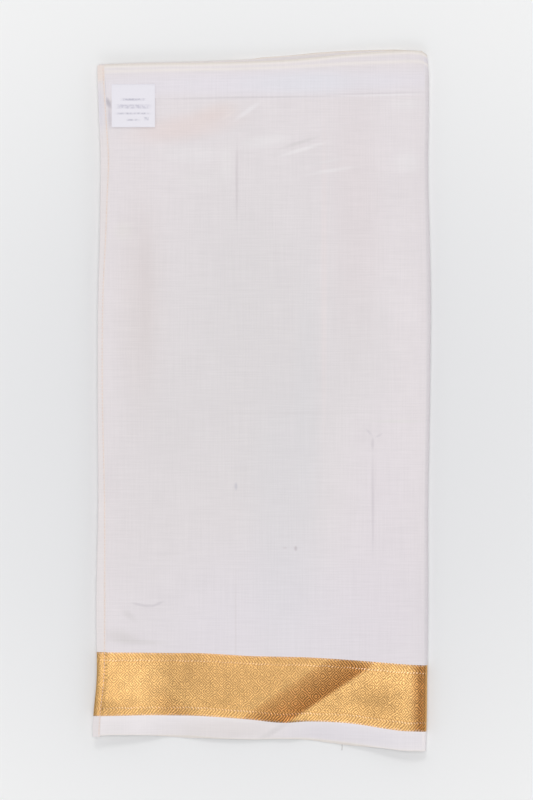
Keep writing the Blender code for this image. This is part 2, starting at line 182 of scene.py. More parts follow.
# %% [markdown]
# ## The relief of the front panel
#
# Pressed silk keeps every small crease. The stack under it is a little uneven, the
# doubled stretch below the long fold stands a thread or two higher, and a tuck crosses
# the gold border: its lower side drops to a crisp line, and its upper side fades away.
# All this could be sculpted. We write each fold as a small function of place instead,
# which can be moved by the millimetre, and their sum is the height of the cloth. Long
# soft folds are Gaussian ridges. Fine creases follow short polylines.

# %% The height of the stack and its largest folds


def stack_height(x, y):
    left, right = section("left", y), section("right", y)
    across = (x - left) / (right - left)
    middle = section("middle_height", y)
    height = mix(section("left_height", y), middle, ease(*LEFT_EASE, across))
    height = mix(height, section("right_height", y), ease(*RIGHT_EASE, across))
    into_turn = np.clip((x - (right - TURN_BULGE - ROLL_WIDTH)) / ROLL_WIDTH, 0.0, 1.0)
    from_foot = np.maximum(y - edge("front_foot", x), 0.0)
    droop = edge("foot_drop", x) * np.maximum(1 - from_foot / DROOP_REACH, 0.0) ** DROOP_SHAPE
    return height - ROLL_DROP * into_turn**2 - droop


def from_line(x, y, line_x, line_y, angle):
    turn = math.radians(angle)
    dx, dy = x - line_x, y - line_y
    along = dx * math.cos(turn) + dy * math.sin(turn)
    return along, dy * math.cos(turn) - dx * math.sin(turn)


def tuck_rise(x, y):
    along, up = from_line(x, y, TUCK_X, TUCK_Y, TUCK_ANGLE)
    rounded = (np.clip(up, -TUCK_ROUND, TUCK_ROUND) + TUCK_ROUND) ** 2 / (4 * TUCK_ROUND)
    up = np.where(up < TUCK_ROUND, rounded, up)
    near = 1 - np.maximum(1 - up / TUCK_CREST, 0.0) ** TUCK_SHAPE
    far = np.exp(-(((up - TUCK_CREST) / TUCK_FALL) ** 2))
    share = np.where(up <= 0.0, 0.0, np.where(up < TUCK_CREST, near, far))
    gone = np.maximum(ease(*TUCK_UPPER_END, along), ease(*TUCK_LOWER_END, -along))
    return TUCK_RISE * share * (1 - gone)


def fold_rise(x, y):
    total = tuck_rise(x, y)
    for fold in FOLDS:
        along, up = from_line(x, y, fold.x, fold.y, fold.angle)
        width = np.where(up > 0, fold.upper_width, fold.lower_width)
        total = total + fold.rise * np.exp(-((along / fold.length) ** 2) - (up / width) ** 2)
    return total


print(f"The stack stands {float(stack_height(0.0, 0.0)):.1f} mm high in its middle")

# %% The fine creases, each along a few points
Crease = namedtuple("Crease", "points width rise")
CREASES = (
    Crease(((-23.0, 251.0), (-22.6, 200.0), (-23.2, 157.0)), 1.3, 0.34),
    Crease(((101.5, -24.0), (102.6, -90.0), (101.8, -148.0)), 1.5, 0.36),
    Crease(((99.5, -30.0), (102.5, -27.0), (106.0, -29.5)), 2.2, 0.40),
    Crease(((-122.0, -185.5), (-112.0, -188.5), (-101.0, -189.0), (-91.0, -185.0)), 2.2, 0.50),
    Crease(((-131.0, -197.0), (-122.0, -199.0)), 2.6, 0.30),
    Crease(((-28.0, 257.0), (-12.0, 266.0), (2.0, 277.0)), 3.2, 0.36),
    Crease(((8.0, 229.0), (40.0, 240.0), (77.0, 250.5)), 3.4, 0.36),
    Crease(((26.0, 203.0), (60.0, 212.0), (92.0, 221.0)), 3.6, 0.30),
    Crease(((-60.0, 231.0), (-36.0, 239.0), (-14.0, 243.0)), 3.6, 0.22),
    Crease(((-29.0, -232.5), (-29.5, -262.0), (-28.5, -284.0)), 1.8, 0.30),
    Crease(((-150.0, 247.0), (-128.0, 245.0), (-96.0, 247.0)), 2.6, 0.20),
    Crease(((28.0, -294.5), (13.0, -303.5), (2.0, -312.5)), 2.4, 0.50),
)
CREASE_TAPER = 0.25  # the share of a crease's length over which each end fades
CREASE_END = 0.25  # the share of its height that is left at the very end


def crease_rise(x, y):
    """Soft ridges along polylines, which taper at both ends."""
    total = np.zeros_like(x)
    for crease in CREASES:
        points = np.array(crease.points)
        steps = np.hypot(*np.diff(points, axis=0).T)
        length, walked = steps.sum(), 0.0
        nearest, along = np.full_like(x, np.inf), np.zeros_like(x)
        for start, end, step in zip(points, points[1:], steps):
            (x0, y0), (dx, dy) = start, (end - start) / step
            share = np.clip((x - x0) * dx + (y - y0) * dy, 0.0, step)
            away = np.hypot(x - x0 - share * dx, y - y0 - share * dy)
            along = np.where(away < nearest, walked + share, along)
            nearest = np.minimum(nearest, away)
            walked += step
        taper = ease(0.0, CREASE_TAPER * length, along)
        taper = taper * (1 - ease((1 - CREASE_TAPER) * length, length, along))
        ridge = crease.rise * np.exp(-((nearest / crease.width) ** 2))
        total += ridge * mix(CREASE_END, 1.0, taper)
    return total


print(len(FOLDS) + 1, "large folds and", len(CREASES), "fine creases")

# %% The panel's face, with the press lines beside its long fold
PRESS_LINE = (6.2, 9.8)  # how far below the long fold the pressed edge runs, left and right
PRESS_MOVES = (10.0, 120.0)  # where across it goes from the one to the other
PRESS_RISE, PRESS_WIDTH = 0.32, 1.8
HEM_PULL, HEM_REACH = 0.7, 2.8  # the panel rises to meet its thicker hem
UNEVEN_RISE, UNEVEN_SIZE, UNEVEN_SLICE = 0.16, 55.0, 4.0  # the slice is a place in the noise


def uneven(x, y):
    """A slow, slight unevenness, the same on every run."""
    flat = [
        noise.noise(Vector((a / UNEVEN_SIZE, b / UNEVEN_SIZE, UNEVEN_SLICE)))
        for a, b in zip(np.ravel(x), np.ravel(y))
    ]
    return UNEVEN_RISE * np.array(flat).reshape(np.shape(x))


def band_rise(x, y):
    foot = edge("band_foot", x)
    return BAND_RISE * ease(foot - BAND_STEP / 2, foot + BAND_STEP / 2, y)


def press_line(x):
    return mix(*PRESS_LINE, ease(*PRESS_MOVES, x))


def press_rise(x, y):
    crest = edge("front_top", x) - press_line(x)
    return PRESS_RISE * np.exp(-(((y - crest) / PRESS_WIDTH) ** 2))


def hem_lift(x, y):
    from_seam = np.maximum(x - section("left", y) - section("hem", y), 0.0)
    return HEM_PULL * np.exp(-from_seam / HEM_REACH)


def panel_height(x, y):
    height = stack_height(x, y) + fold_rise(x, y) + band_rise(x, y)
    height = height + crease_rise(x, y) + press_rise(x, y) + hem_lift(x, y)
    return height + uneven(x, y)


middle = np.array([0.0])
print(f"The panel stands {panel_height(middle, middle)[0]:.2f} mm high in its middle")

# %% [markdown]
# ## One function that adds a node
#
# Blender's materials and Geometry Nodes are both trees of nodes. They could be put
# together by hand in the editor, but a tree that is written down comes out the same each
# time. A single small function adds any node: its settings, the values of its sockets,
# and the links into it. Colours are written as hex values, as a designer notes them, and
# one function turns them into the linear numbers that a renderer adds and multiplies.

# %% Helpers for node trees and colours


def linear(hex_colour):
    """An sRGB hex colour as linear red, green, blue and alpha."""
    parts = [int(hex_colour[i : i + 2], 16) / 255 for i in (1, 3, 5)]
    return (*(p / 12.92 if p <= 0.04045 else ((p + 0.055) / 1.055) ** 2.4 for p in parts), 1.0)


def set_sockets(tree, node, sockets):
    """Gives each socket, by its name or number, a value or a link from an output."""
    for name, value in sockets.items():
        if isinstance(value, bpy.types.NodeSocket):
            tree.links.new(value, node.inputs[name])
        else:
            node.inputs[name].default_value = value


def add_node(tree, kind, sockets=None, **settings):
    """Adds a node with its settings, and with its sockets' values and links."""
    node = tree.nodes.new(kind)
    for name, value in settings.items():
        setattr(node, name, value)
    set_sockets(tree, node, sockets or {})
    return node


def new_material(name):
    """A new material with its tree and its shader."""
    material = bpy.data.materials.new(name)
    material.use_nodes = True
    return material, material.node_tree, material.node_tree.nodes["Principled BSDF"]


print("Ivory is", [round(part, 3) for part in linear("#E4DEDF")[:3]], "in linear numbers")

# %% [markdown]
# ## Plain-woven silk
#
# The ground is an ivory plain weave of fine filament silk. Its threads are about 0.2 mm
# apart, which no picture of the whole cloth can show, so what the eye reads is their
# unevenness: long thin slubs along the weft (across the panel) and fainter ones along
# the warp. We draw those as noise 1.3 mm thick and 36 to 50 mm long. Slow tints in the
# dye, a few marks of handling, and painted shade and highlights on creases, wrinkles and
# edges lie over them. They could be painted on an image, but nodes stay clear at any
# distance. Each tint is an ellipse: a Mapping node moves, turns and scales the coordinates
# so that the ellipse is a unit circle, and a Map Range node makes its soft edge. The
# coordinates come from a UV map that follows the cloth round its turn, in metres. Silk
# scatters most of the light and mirrors a little of it, so the surface is fairly rough,
# with a low specular level and a trace of sheen.

# %% The tints of the silk, with painted light and shade among them
Tint = namedtuple("Tint", "x y half_width half_height angle colour strength")
SILK_TINTS_AND_PAINTED_LIGHT = (
    Tint(-10.0, 30.0, 150.0, 300.0, 0.0, "#DAD7D7", 0.52),  # painted shade: greyer in the middle, where the light falls off
    Tint(20.0, -215.0, 230.0, 120.0, 0.0, "#E4DFE6", 0.50),  # cooler towards the border
    Tint(10.0, 291.5, 320.0, 18.0, 1.2, "#EBE6ED", 0.75),  # the doubled band
    Tint(46.0, 292.0, 96.0, 17.0, 1.2, "#E2E6EC", 0.32),
    Tint(-72.0, 251.0, 74.0, 18.0, 9.0, "#EBCFC4", 0.27),  # a peach stain, upper left
    Tint(-42.0, 266.0, 30.0, 12.0, 14.0, "#EBD4CA", 0.24),
    Tint(-112.0, 85.0, 34.0, 150.0, 0.0, "#DDD3D1", 0.40),  # browner stripes of warp
    Tint(-107.5, 92.0, 11.0, 110.0, 0.0, "#D8CCCC", 0.20),
    Tint(20.0, -110.0, 48.0, 190.0, 0.0, "#DADADE", 0.28),  # a cooler stretch of warp
    Tint(42.0, 10.0, 18.0, 170.0, 0.0, "#D9DADD", 0.20),
    Tint(86.0, 170.0, 38.0, 190.0, 0.0, "#E0D4D5", 0.30),  # pinker ones
    Tint(112.0, -140.0, 58.0, 190.0, 0.0, "#E5DDE3", 0.38),
    Tint(-104.0, -70.0, 68.0, 240.0, 0.0, "#DAD6D6", 0.27),
    Tint(98.0, 46.0, 46.0, 90.0, 0.0, "#DAD7D7", 0.20),
    Tint(57.0, 120.0, 4.4, 210.0, 0.0, "#ECE1E1", 0.42),  # a single paler one
    Tint(124.0, -19.5, 34.0, 2.6, 0.0, "#E3E2DC", 0.30),  # a fold mark across the panel
    Tint(30.0, -12.0, 130.0, 2.2, 0.5, "#D2CDCD", 0.14),
    Tint(-13.0, 266.0, 20.0, 3.4, 36.0, "#F4F0F2", 0.50),  # painted sheen and painted shade along the pressed wrinkles
    Tint(-31.0, 262.0, 14.0, 1.8, 32.0, "#EEE4E2", 0.40),
    Tint(2.0, 238.0, 34.0, 9.0, 9.0, "#EFEBEC", 0.50),
    Tint(37.0, 230.5, 30.0, 3.0, 17.0, "#F5F1F2", 0.54),
    Tint(34.0, 236.5, 25.0, 2.6, 17.0, "#D1CCCC", 0.38),
    Tint(64.0, 211.0, 33.0, 2.7, 9.0, "#F1EDEE", 0.46),
    Tint(58.0, 219.0, 26.0, 2.0, 12.0, "#EAE6E7", 0.35),
    Tint(-64.0, 226.0, 40.0, 12.0, 0.0, "#EDE9EA", 0.45),
    Tint(-52.0, 204.0, 34.0, 15.0, 0.0, "#E9E5E5", 0.34),
    Tint(-32.5, 219.0, 10.0, 26.0, 0.0, "#EEEAEA", 0.40),
    Tint(-128.0, 156.0, 12.0, 14.0, 0.0, "#E8E4DF", 0.35),
    Tint(133.0, 219.0, 18.0, 16.0, 0.0, "#EFEBEC", 0.45),
    Tint(134.0, 272.0, 24.0, 9.0, 0.0, "#EDE9EA", 0.42),
    Tint(-10.0, 278.4, 125.0, 1.4, 0.9, "#CBC5C7", 0.36),  # painted shade under the doubled band's step, and a painted highlight just below it
    Tint(112.0, 282.3, 60.0, 1.2, 1.2, "#C6C0C5", 0.26),
    Tint(114.0, 280.6, 58.0, 1.3, 1.2, "#F4F0F2", 0.55),
    # a slightly darker line down the lower panel
    Tint(-24.3, -206.0, 1.3, 74.0, 0.0, "#D3CBCC", 0.27),
    Tint(-23.2, 200.0, 1.9, 48.0, 0.0, "#BDB2B8", 0.32),  # painted shade along two creases
    Tint(101.8, -95.0, 1.9, 66.0, 0.3, "#BFB7BF", 0.30),
    Tint(101.8, -40.0, 2.4, 8.0, 0.0, "#B5ADB7", 0.26),
    Tint(98.4, -29.6, 6.0, 1.8, -46.0, "#C3BDC5", 0.26),
    Tint(107.6, -32.6, 5.0, 1.7, 30.0, "#C3BDC5", 0.28),
    Tint(-24.0, -79.5, 2.2, 5.0, 0.0, "#BCB9C4", 0.50),  # small spots
    Tint(31.0, -136.5, 2.2, 3.4, 0.0, "#B7ABB0", 0.50),
    Tint(21.0, -136.0, 3.0, 1.4, 0.0, "#CFC4C6", 0.40),
    Tint(-113.5, -188.0, 10.0, 1.9, -11.0, "#B8B1B9", 0.28),  # painted shade along a pressed crescent and the fold below it
    Tint(-104.5, -189.4, 9.0, 2.0, 0.0, "#B8B1B9", 0.24),
    Tint(-96.0, -187.6, 8.5, 1.9, 22.0, "#B8B1B9", 0.28),
    Tint(-122.5, -198.0, 11.0, 5.0, -38.0, "#D2CDCD", 0.34),
    Tint(-130.0, -217.5, 24.0, 9.5, -10.0, "#CEC8C5", 0.27),
    Tint(-112.0, -222.5, 34.0, 4.0, -3.0, "#CECAC7", 0.26),
    Tint(154.5, 10.0, 5.0, 640.0, 0.0, "#C6C3C8", 0.32),  # painted shade where it turns
    Tint(-144.6, 284.0, 1.5, 17.0, 2.0, "#B7B1BB", 0.60),  # painted shade in a small gap and a pucker beside the label
    Tint(-141.6, 273.5, 3.6, 8.0, 28.0, "#9D99A8", 0.52),
    Tint(-140.4, 260.0, 2.6, 15.0, 3.0, "#C3BECB", 0.45),
    Tint(-136.0, -304.0, 24.0, 18.0, 0.0, "#E5E0E0", 0.40),  # the selvedge is duller here
    Tint(-36.0, -303.0, 72.0, 18.0, 0.0, "#E7DFDB", 0.45),
    Tint(12.0, -304.0, 26.0, 4.2, 33.0, "#D3CECD", 0.34),  # shaded behind the tuck
    Tint(66.0, -306.0, 66.0, 22.0, 0.0, "#E4DFE7", 0.50),  # and cooler past it
    Tint(124.0, -312.0, 50.0, 18.0, 0.0, "#E3DFE6", 0.50),
)
HEM_TINTS = (Tint(-151.0, 268.0, 9.0, 33.0, 0.0, "#DFDDE8", 0.75),)  # cooler near the label


def add_tints(tree, coordinates, colour, tints):
    """Lays each tint over a colour, and gives the new colour's socket."""
    for tint in tints:
        place = add_node(
            tree,
            "ShaderNodeMapping",
            {
                "Vector": coordinates,
                "Location": (tint.x * MM, tint.y * MM, 0.0),
                "Rotation": (0.0, 0.0, math.radians(tint.angle)),
                "Scale": (tint.half_width * MM, tint.half_height * MM, 1.0),
            },
            vector_type="TEXTURE",
        )
        away = add_node(
            tree, "ShaderNodeVectorMath", {0: place.outputs[0]}, operation="LENGTH"
        )
        amount = add_node(
            tree,
            "ShaderNodeMapRange",
            {"Value": away.outputs["Value"], 1: 0.15, 2: 1.0, 3: tint.strength, 4: 0.0},
            interpolation_type="SMOOTHSTEP",
        )
        laid = add_node(
            tree,
            "ShaderNodeMix",
            {"Factor": amount.outputs["Result"], 6: colour, 7: linear(tint.colour)},
            data_type="RGBA",
        )
        colour = laid.outputs[2]
    return colour


print(len(SILK_TINTS_AND_PAINTED_LIGHT), "tints in the silk")

# %% The slubs of a plain weave
SLUB_THICK = 1.3  # mm: six or seven threads, drawn as thick as they need to be to show
SLUBS = (  # how often the noise repeats in a metre each way, and its share of the depth
    ((28.0, PER_METRE / SLUB_THICK, 1.0), 1.0),
    ((PER_METRE / SLUB_THICK, 20.0, 1.0), 0.8),
)


def shade_by(tree, colour, unevenness, depth):
    """Darkens and lightens a colour with a noise, by as much as depth either way."""
    shade = add_node(
        tree,
        "ShaderNodeMapRange",
        {"Value": unevenness, 1: 0.3, 2: 0.7, 3: 1 - depth, 4: 1 + depth},
    )
    scaled = add_node(
        tree, "ShaderNodeVectorMath", {0: colour, "Scale": shade.outputs[0]}, operation="SCALE"
    )
    return scaled.outputs[0]


def add_slubs(tree, coordinates, colour, depth):
    """Uneven weft and warp over a colour. Gives the colour and a height for the bump."""
    heights = []
    for stretch, amount in SLUBS:
        drawn = add_node(tree, "ShaderNodeMapping", {"Vector": coordinates, "Scale": stretch})
        threads = add_node(
            tree,
            "ShaderNodeTexNoise",
            {"Vector": drawn.outputs[0], "Scale": 1.0, "Detail": 2.0, "Roughness": 0.6},
        )
        heights.append(threads.outputs[0])
        colour = shade_by(tree, colour, threads.outputs[0], depth * amount)
    both = add_node(tree, "ShaderNodeMath", {0: heights[0], 1: heights[1]}, operation="ADD")
    return colour, both.outputs[0]


print(f"{PER_METRE / SLUB_THICK:.0f} slubs to a metre")

# %% The silks, one for each part of the cloth
CLOUDS = ((9.0, 0.014), (34.0, 0.012), (90.0, 0.008))  # noise scale per metre, and depth
SILK_FINISH = {
    "Roughness": 0.58,
    "Specular IOR Level": 0.35,
    "Sheen Weight": 0.12,
    "Sheen Roughness": 0.4,
}


def make_silk(name, ground, cream, brown, tints, depth):
    """Plain-woven silk. Its warmth attribute takes it to cream at 0.5 and to brown at 1. It
    mostly carries painted shade and highlights on rims and edges.
    """
    material, tree, shader = new_material(name)
    weave = add_node(tree, "ShaderNodeUVMap", uv_map="weave")
    base = linear(ground)[:3]
    for scale, amount in CLOUDS:
        cloudy = add_node(
            tree,
            "ShaderNodeTexNoise",
            {"Vector": weave.outputs[0], "Scale": scale, "Detail": 2.0, "Roughness": 0.55},
        )
        base = shade_by(tree, base, cloudy.outputs[0], amount)
    base = add_tints(tree, weave.outputs[0], base, tints)
    warmth = add_node(tree, "ShaderNodeAttribute", attribute_name="warmth_and_painted_light")
    for colour, low, high in ((cream, 0.0, 0.5), (brown, 0.5, 1.0)):
        share = add_node(
            tree, "ShaderNodeMapRange", {"Value": warmth.outputs["Fac"], 1: low, 2: high}
        )
        base = add_node(
            tree,
            "ShaderNodeMix",
            {"Factor": share.outputs[0], 6: base, 7: linear(colour)},
            data_type="RGBA",
        ).outputs[2]
    colour, height = add_slubs(tree, weave.outputs[0], base, depth)
    bump = add_node(
        tree, "ShaderNodeBump", {"Height": height, "Strength": 0.25, "Distance": 0.0002}
    )
    set_sockets(tree, shader, {"Base Color": colour, "Normal": bump.outputs[0], **SILK_FINISH})
    return material


ivory_silk = make_silk("plain-woven ivory silk", "#E9E2E4", "#F3ECE8", "#E6DED6", SILK_TINTS_AND_PAINTED_LIGHT, 0.024)
# its ground is paler than the ivory: painted light, for the strip droops away from the lamps
selvedge_silk = make_silk(
    "plain-woven selvedge silk", "#F4EEEF", "#F5EEEA", "#E9E0D8", SILK_TINTS_AND_PAINTED_LIGHT, 0.018
)
folded_silk = make_silk(
    "plain-woven silk of the folded panels", "#E6DFDF", "#EEE4DC", "#D8CCC0", (), 0.02
)
hem_silk = make_silk(
    "plain-woven silk of the turned hem", "#E9E3E4", "#EFE2DB", "#E2D0C6", HEM_TINTS, 0.02
)
print("Silks:", ivory_silk.name, selvedge_silk.name, folded_silk.name, hem_silk.name, sep="\n  ")

# %% [markdown]
# ## Zari, the gold border
#
# Zari is a silk or cotton core wrapped with a thin flat strip of gilded metal. Woven as
# the border's weft, it gives a satin gold that is bright where it faces the light and
# brown where it tips away, because it mirrors its surroundings as a metal does. The
# weaver's draft is a traditional one: a row of nested chevrons along each edge, then
# nested lozenges between them. Each thread could be a curve of its own, but there are
# thousands, so the draft comes from arithmetic on the UV map. A ping-pong of a
# coordinate is a zigzag, so a ping-pong across plus a ping-pong along gives lozenges, and
# a ping-pong of their sum gives evenly spaced lines. They stand for several threads each,
# 2.5 mm apart, because single threads are too fine to show.
#
# Round threads scatter golden light to the side, so a golden sheen keeps the border gold
# in low views. Where the cloth tips, an attribute takes the lines to a darker, browner pair
# of colours: painted shade, on top of the shade that the gilding's mirror gives there.

# %% The zari's sizes, and the shade and light painted on it
LINE_PITCH = 2.48  # mm between the woven lines of a lozenge
LOZENGE = 12.4  # mm from one lozenge's middle to the next
CHEVRON_PITCH = 2.8
CHEVRON_SLANT = 0.9
CHEVRON_TIP = 6.2  # mm from the border's edge to the chevrons' tips
CHEVRON_ROW = 8.4
RULE_GAP, RULE_HALF = 0.3, 0.35  # mm, a thin line between the chevrons and the lozenges
DOT_ROW, DOT_HALF = 7.3, 0.85  # mm, where pale ground silk shows between the rows
TOOTH_HIGH = 1.3
PULL = 2.4  # how far a noise pulls the threads aside, at the very most a quarter of this
PULL_SIZE, PATCH_SIZE = 8.0, 26.0  # mm, of that noise and of the one that hides some dots
# mostly painted shade where the gold lies in gentle folds, painted light on the left and round
# the turn, and a darker edge row
GOLD_SHADE_AND_LIGHT = (
    Tint(-74.0, 46.0, 34.0, 38.0, 0.0, "#6E4A20", 0.24),  # painted shade on a gentle fold
    Tint(-140.0, 6.0, 26.0, 26.0, 0.0, "#6E4A20", 0.12),
    Tint(-108.0, 28.0, 34.0, 30.0, 0.0, "#FFD596", 0.08),
    Tint(-20.0, 42.0, 90.0, 46.0, 0.0, "#6E4A20", 0.24),
    Tint(40.0, 50.0, 60.0, 30.0, 0.0, "#6E4A20", 0.18),
    Tint(0.0, 58.0, 340.0, 9.0, 0.0, "#6E4A20", 0.16),  # darker along the edge row
    Tint(106.0, 22.0, 30.0, 28.0, -25.0, "#7A5222", 0.26),
    Tint(-46.0, 12.0, 30.0, 10.0, 0.0, "#7A5222", 0.14),
    Tint(152.0, 29.0, 8.0, 80.0, 0.0, "#FFC986", 0.20),  # painted light round the turn
)
print(f"{BORDER_WIDTH / LOZENGE:.1f} lozenges would fill the border's width")

# %% Where each thread of the zari lies
gold_zari, tree, shader = new_material("gilded zari weave")
weave = add_node(tree, "ShaderNodeUVMap", uv_map="weave")
wander = add_node(
    tree,
    "ShaderNodeTexNoise",
    {"Vector": weave.outputs[0], "Scale": PER_METRE / PULL_SIZE, "Detail": 1.0},
)
centred = add_node(
    tree,
    "ShaderNodeVectorMath",
    {0: wander.outputs["Color"], 1: (0.5, 0.5, 0.5)},
    operation="SUBTRACT",
)
pulled = add_node(
    tree,
    "ShaderNodeVectorMath",
    {0: centred.outputs[0], 1: (PULL * MM, PULL * MM, 0.0), 2: weave.outputs[0]},
    operation="MULTIPLY_ADD",
)
parts = add_node(tree, "ShaderNodeSeparateXYZ", {0: pulled.outputs[0]})
patches = add_node(
    tree,
    "ShaderNodeTexNoise",
    {"Vector": weave.outputs[0], "Scale": PER_METRE / PATCH_SIZE, "Detail": 2.0},
)
patchy = add_node(
    tree, "ShaderNodeMapRange", {"Value": patches.outputs[0], 1: 0.38, 2: 0.6, 3: 0.25, 4: 1.0}
)
sums = {"u": parts.outputs[0], "v": parts.outputs[1], "patchy": patchy.outputs[0]}
print(f"The threads wander by {PULL / 4:.1f} mm at most")

# %% The draft: chevrons, lozenges, dots and teeth, one sum at a time
STEPS = (
    ("across", "MULTIPLY", "u", PER_METRE),
    ("up", "MULTIPLY", "v", PER_METRE),
    ("down", "SUBTRACT", BORDER_WIDTH, "up"),
    ("inward", "MINIMUM", "up", "down"),
    # chevrons: a line's place across depends on how far it is from the row of tips
    ("from_tip", "SUBTRACT", "inward", CHEVRON_TIP),
    ("back", "ABSOLUTE", "from_tip"),
    ("slanted", "MULTIPLY_ADD", "back", CHEVRON_SLANT, "across"),
    ("chevron_wave", "PINGPONG", "slanted", CHEVRON_PITCH / 2),
    ("chevrons", "DIVIDE", "chevron_wave", CHEVRON_PITCH / 2),
    ("in_row", "LESS_THAN", "inward", CHEVRON_ROW),
    # lozenges, with one in the middle; five more keep the sum above zero
    ("zig", "PINGPONG", "across", LOZENGE / 2),
    ("level", "ADD", "up", LOZENGE / 2 - BORDER_WIDTH / 2 + 5 * LOZENGE),
    ("zag", "PINGPONG", "level", LOZENGE / 2),
    ("rings", "ADD", "zig", "zag"),
    ("ring_wave", "PINGPONG", "rings", LINE_PITCH / 2),
    ("lozenges", "DIVIDE", "ring_wave", LINE_PITCH / 2),
    # the line between the row and the lozenges, and the row of pale dots
    ("from_rule", "SUBTRACT", "inward", CHEVRON_ROW + RULE_GAP),
    ("rule_away", "ABSOLUTE", "from_rule"),
    ("rule", "LESS_THAN", "rule_away", RULE_HALF),
    ("from_dots", "SUBTRACT", "inward", DOT_ROW),
    ("dots_away", "ABSOLUTE", "from_dots"),
    ("dots_across", "PINGPONG", "across", CHEVRON_PITCH / 2),
    ("dots_sum", "ADD", "dots_away", "dots_across"),
    ("dot", "LESS_THAN", "dots_sum", DOT_HALF),
    ("dots", "MULTIPLY", "dot", "patchy"),
    # teeth where the gold weft ends
    ("at_edge", "LESS_THAN", "inward", TOOTH_HIGH),
    ("tooth_wave", "PINGPONG", "across", CHEVRON_PITCH / 2),
    ("tooth", "GREATER_THAN", "tooth_wave", CHEVRON_PITCH / 4),
    ("teeth", "MULTIPLY", "at_edge", "tooth"),
)
for name, operation, *terms in STEPS:
    sockets = {i: sums.get(term, term) for i, term in enumerate(terms)}
    sums[name] = add_node(tree, "ShaderNodeMath", sockets, operation=operation).outputs[0]
print("The zari's pattern takes", len(STEPS), "sums")

# %% How far each point is from a thread's core to its gilded face, and the painted shade where the cloth tips
SHADED_LEVELS = (  # a share where the cloth lies level, and what painted shade adds where it tips
    (0.27, -0.27),  # at the darkest of a line
    (0.79, 0.21),  # at its lightest
    (0.50, 0.25),  # of the pale dots
)
# painted shade where the cloth tips, from the mesh's attribute
tip_shade = add_node(tree, "ShaderNodeAttribute", attribute_name="warmth_and_painted_light").outputs["Fac"]
low, high, dot_share = (
    add_node(
        tree, "ShaderNodeMath", {0: tip_shade, 1: change, 2: level}, operation="MULTIPLY_ADD"
    ).outputs[0]
    for level, change in SHADED_LEVELS
)
lozenges, chevrons = (
    add_node(
        tree, "ShaderNodeMapRange", {"Value": sums[wave], 1: 0.15, 2: 0.85, 3: low, 4: high}
    ).outputs[0]
    for wave in ("lozenges", "chevrons")
)
woven = add_node(
    tree, "ShaderNodeMix", {"Factor": sums["in_row"], 2: lozenges, 3: chevrons}
).outputs[0]
print(f"A level line goes from {SHADED_LEVELS[0][0]:.0%} to {SHADED_LEVELS[1][0]:.0%} gilding")

# %% The zari's colours and its gloss
CORE_AND_FACE = (("#633813", "#341504"), ("#E6B976", "#D98236"))  # each where it lies level, then a darker copy for painted shade where it tips
MARKS = (
    ("rule", "#C48C48", 0.25),
    ("dots", "#E6C7AE", dot_share),
    ("teeth", "#C4A793", 0.7),
)
PAINTED_GLINTS_AND_MOTTLES = ((1.2, 1.0, 0.38), (9.0, 2.0, 0.11))  # painted glints of the gilded strip, then mottles in its tone: a noise's size in mm, its detail and depth

core, gilding = (
    add_node(
        tree,
        "ShaderNodeMix",
        {"Factor": tip_shade, 6: linear(level), 7: linear(shaded)},
        data_type="RGBA",
    ).outputs[2]
    for level, shaded in CORE_AND_FACE
)
metal = add_node(
    tree, "ShaderNodeMix", {"Factor": woven, 6: core, 7: gilding}, data_type="RGBA"
).outputs[2]
for mask, colour, strength in MARKS:
    amount = add_node(
        tree, "ShaderNodeMath", {0: sums[mask], 1: strength}, operation="MULTIPLY"
    )
    metal = add_node(
        tree,
        "ShaderNodeMix",
        {"Factor": amount.outputs[0], 6: metal, 7: linear(colour)},
        data_type="RGBA",
    ).outputs[2]
for size, detail, depth in PAINTED_GLINTS_AND_MOTTLES:
    glints_and_mottles = add_node(
        tree,
        "ShaderNodeTexNoise",
        {"Vector": weave.outputs[0], "Scale": PER_METRE / size, "Detail": detail},
    )
    metal = shade_by(tree, metal, glints_and_mottles.outputs[0], depth)
metal = add_tints(tree, weave.outputs[0], metal, GOLD_SHADE_AND_LIGHT)
bump = add_node(tree, "ShaderNodeBump", {"Height": woven, "Strength": 0.35, "Distance": 0.0002})
zari_finish = {
    "Base Color": metal,
    "Normal": bump.outputs[0],
    "Metallic": 0.9,
    "Roughness": 0.38,
    "Sheen Weight": 1.0,
    "Sheen Roughness": 0.6,
    "Sheen Tint": linear("#FFCC68"),
    "Coat Weight": 0.3,  # the strip's lacquer
    "Coat Roughness": 0.34,
}
set_sockets(tree, shader, zari_finish)
print(gold_zari.name, "has", len(tree.nodes), "nodes")

# %% [markdown]
# ## Meshes from grids
#
# Every panel is a grid of points: rows down the cloth and columns along its path. A
# doubled cloth is a closed ring at each column: down its face, round its foot, up its
# lining and over the long fold. A Solidify modifier could thicken a single sheet, but it
# gives it one square rim all round, and the long fold and the selvedges each need a rim of
# their own. Joining neighbouring rings gives a closed shell whose faces point outwards.

# %% Round the rim of a doubled cloth


def unit(vectors):
    return vectors / np.linalg.norm(vectors, axis=-1, keepdims=True)


def rim_points(upper, lower, outward, profile):
    """Points from upper to lower round a rim, by a profile of (out, across) pairs in mm.

    upper, lower and outward hold one point or direction for each column.
    """
    return [mix(upper, lower, across) + outward * out for out, across in profile]


def round_profile(thickness, steps=5):
    turns = [math.pi * (i + 1) / (steps + 1) for i in range(steps)]
    return [(thickness / 2 * math.sin(t), (1 - math.cos(t)) / 2) for t in turns]


def go_round(face, lining, foot=(), over=()):
    """Rows down the face, round the foot, up the lining and over the top."""
    return np.array([*face, *foot, *lining[::-1], *over])


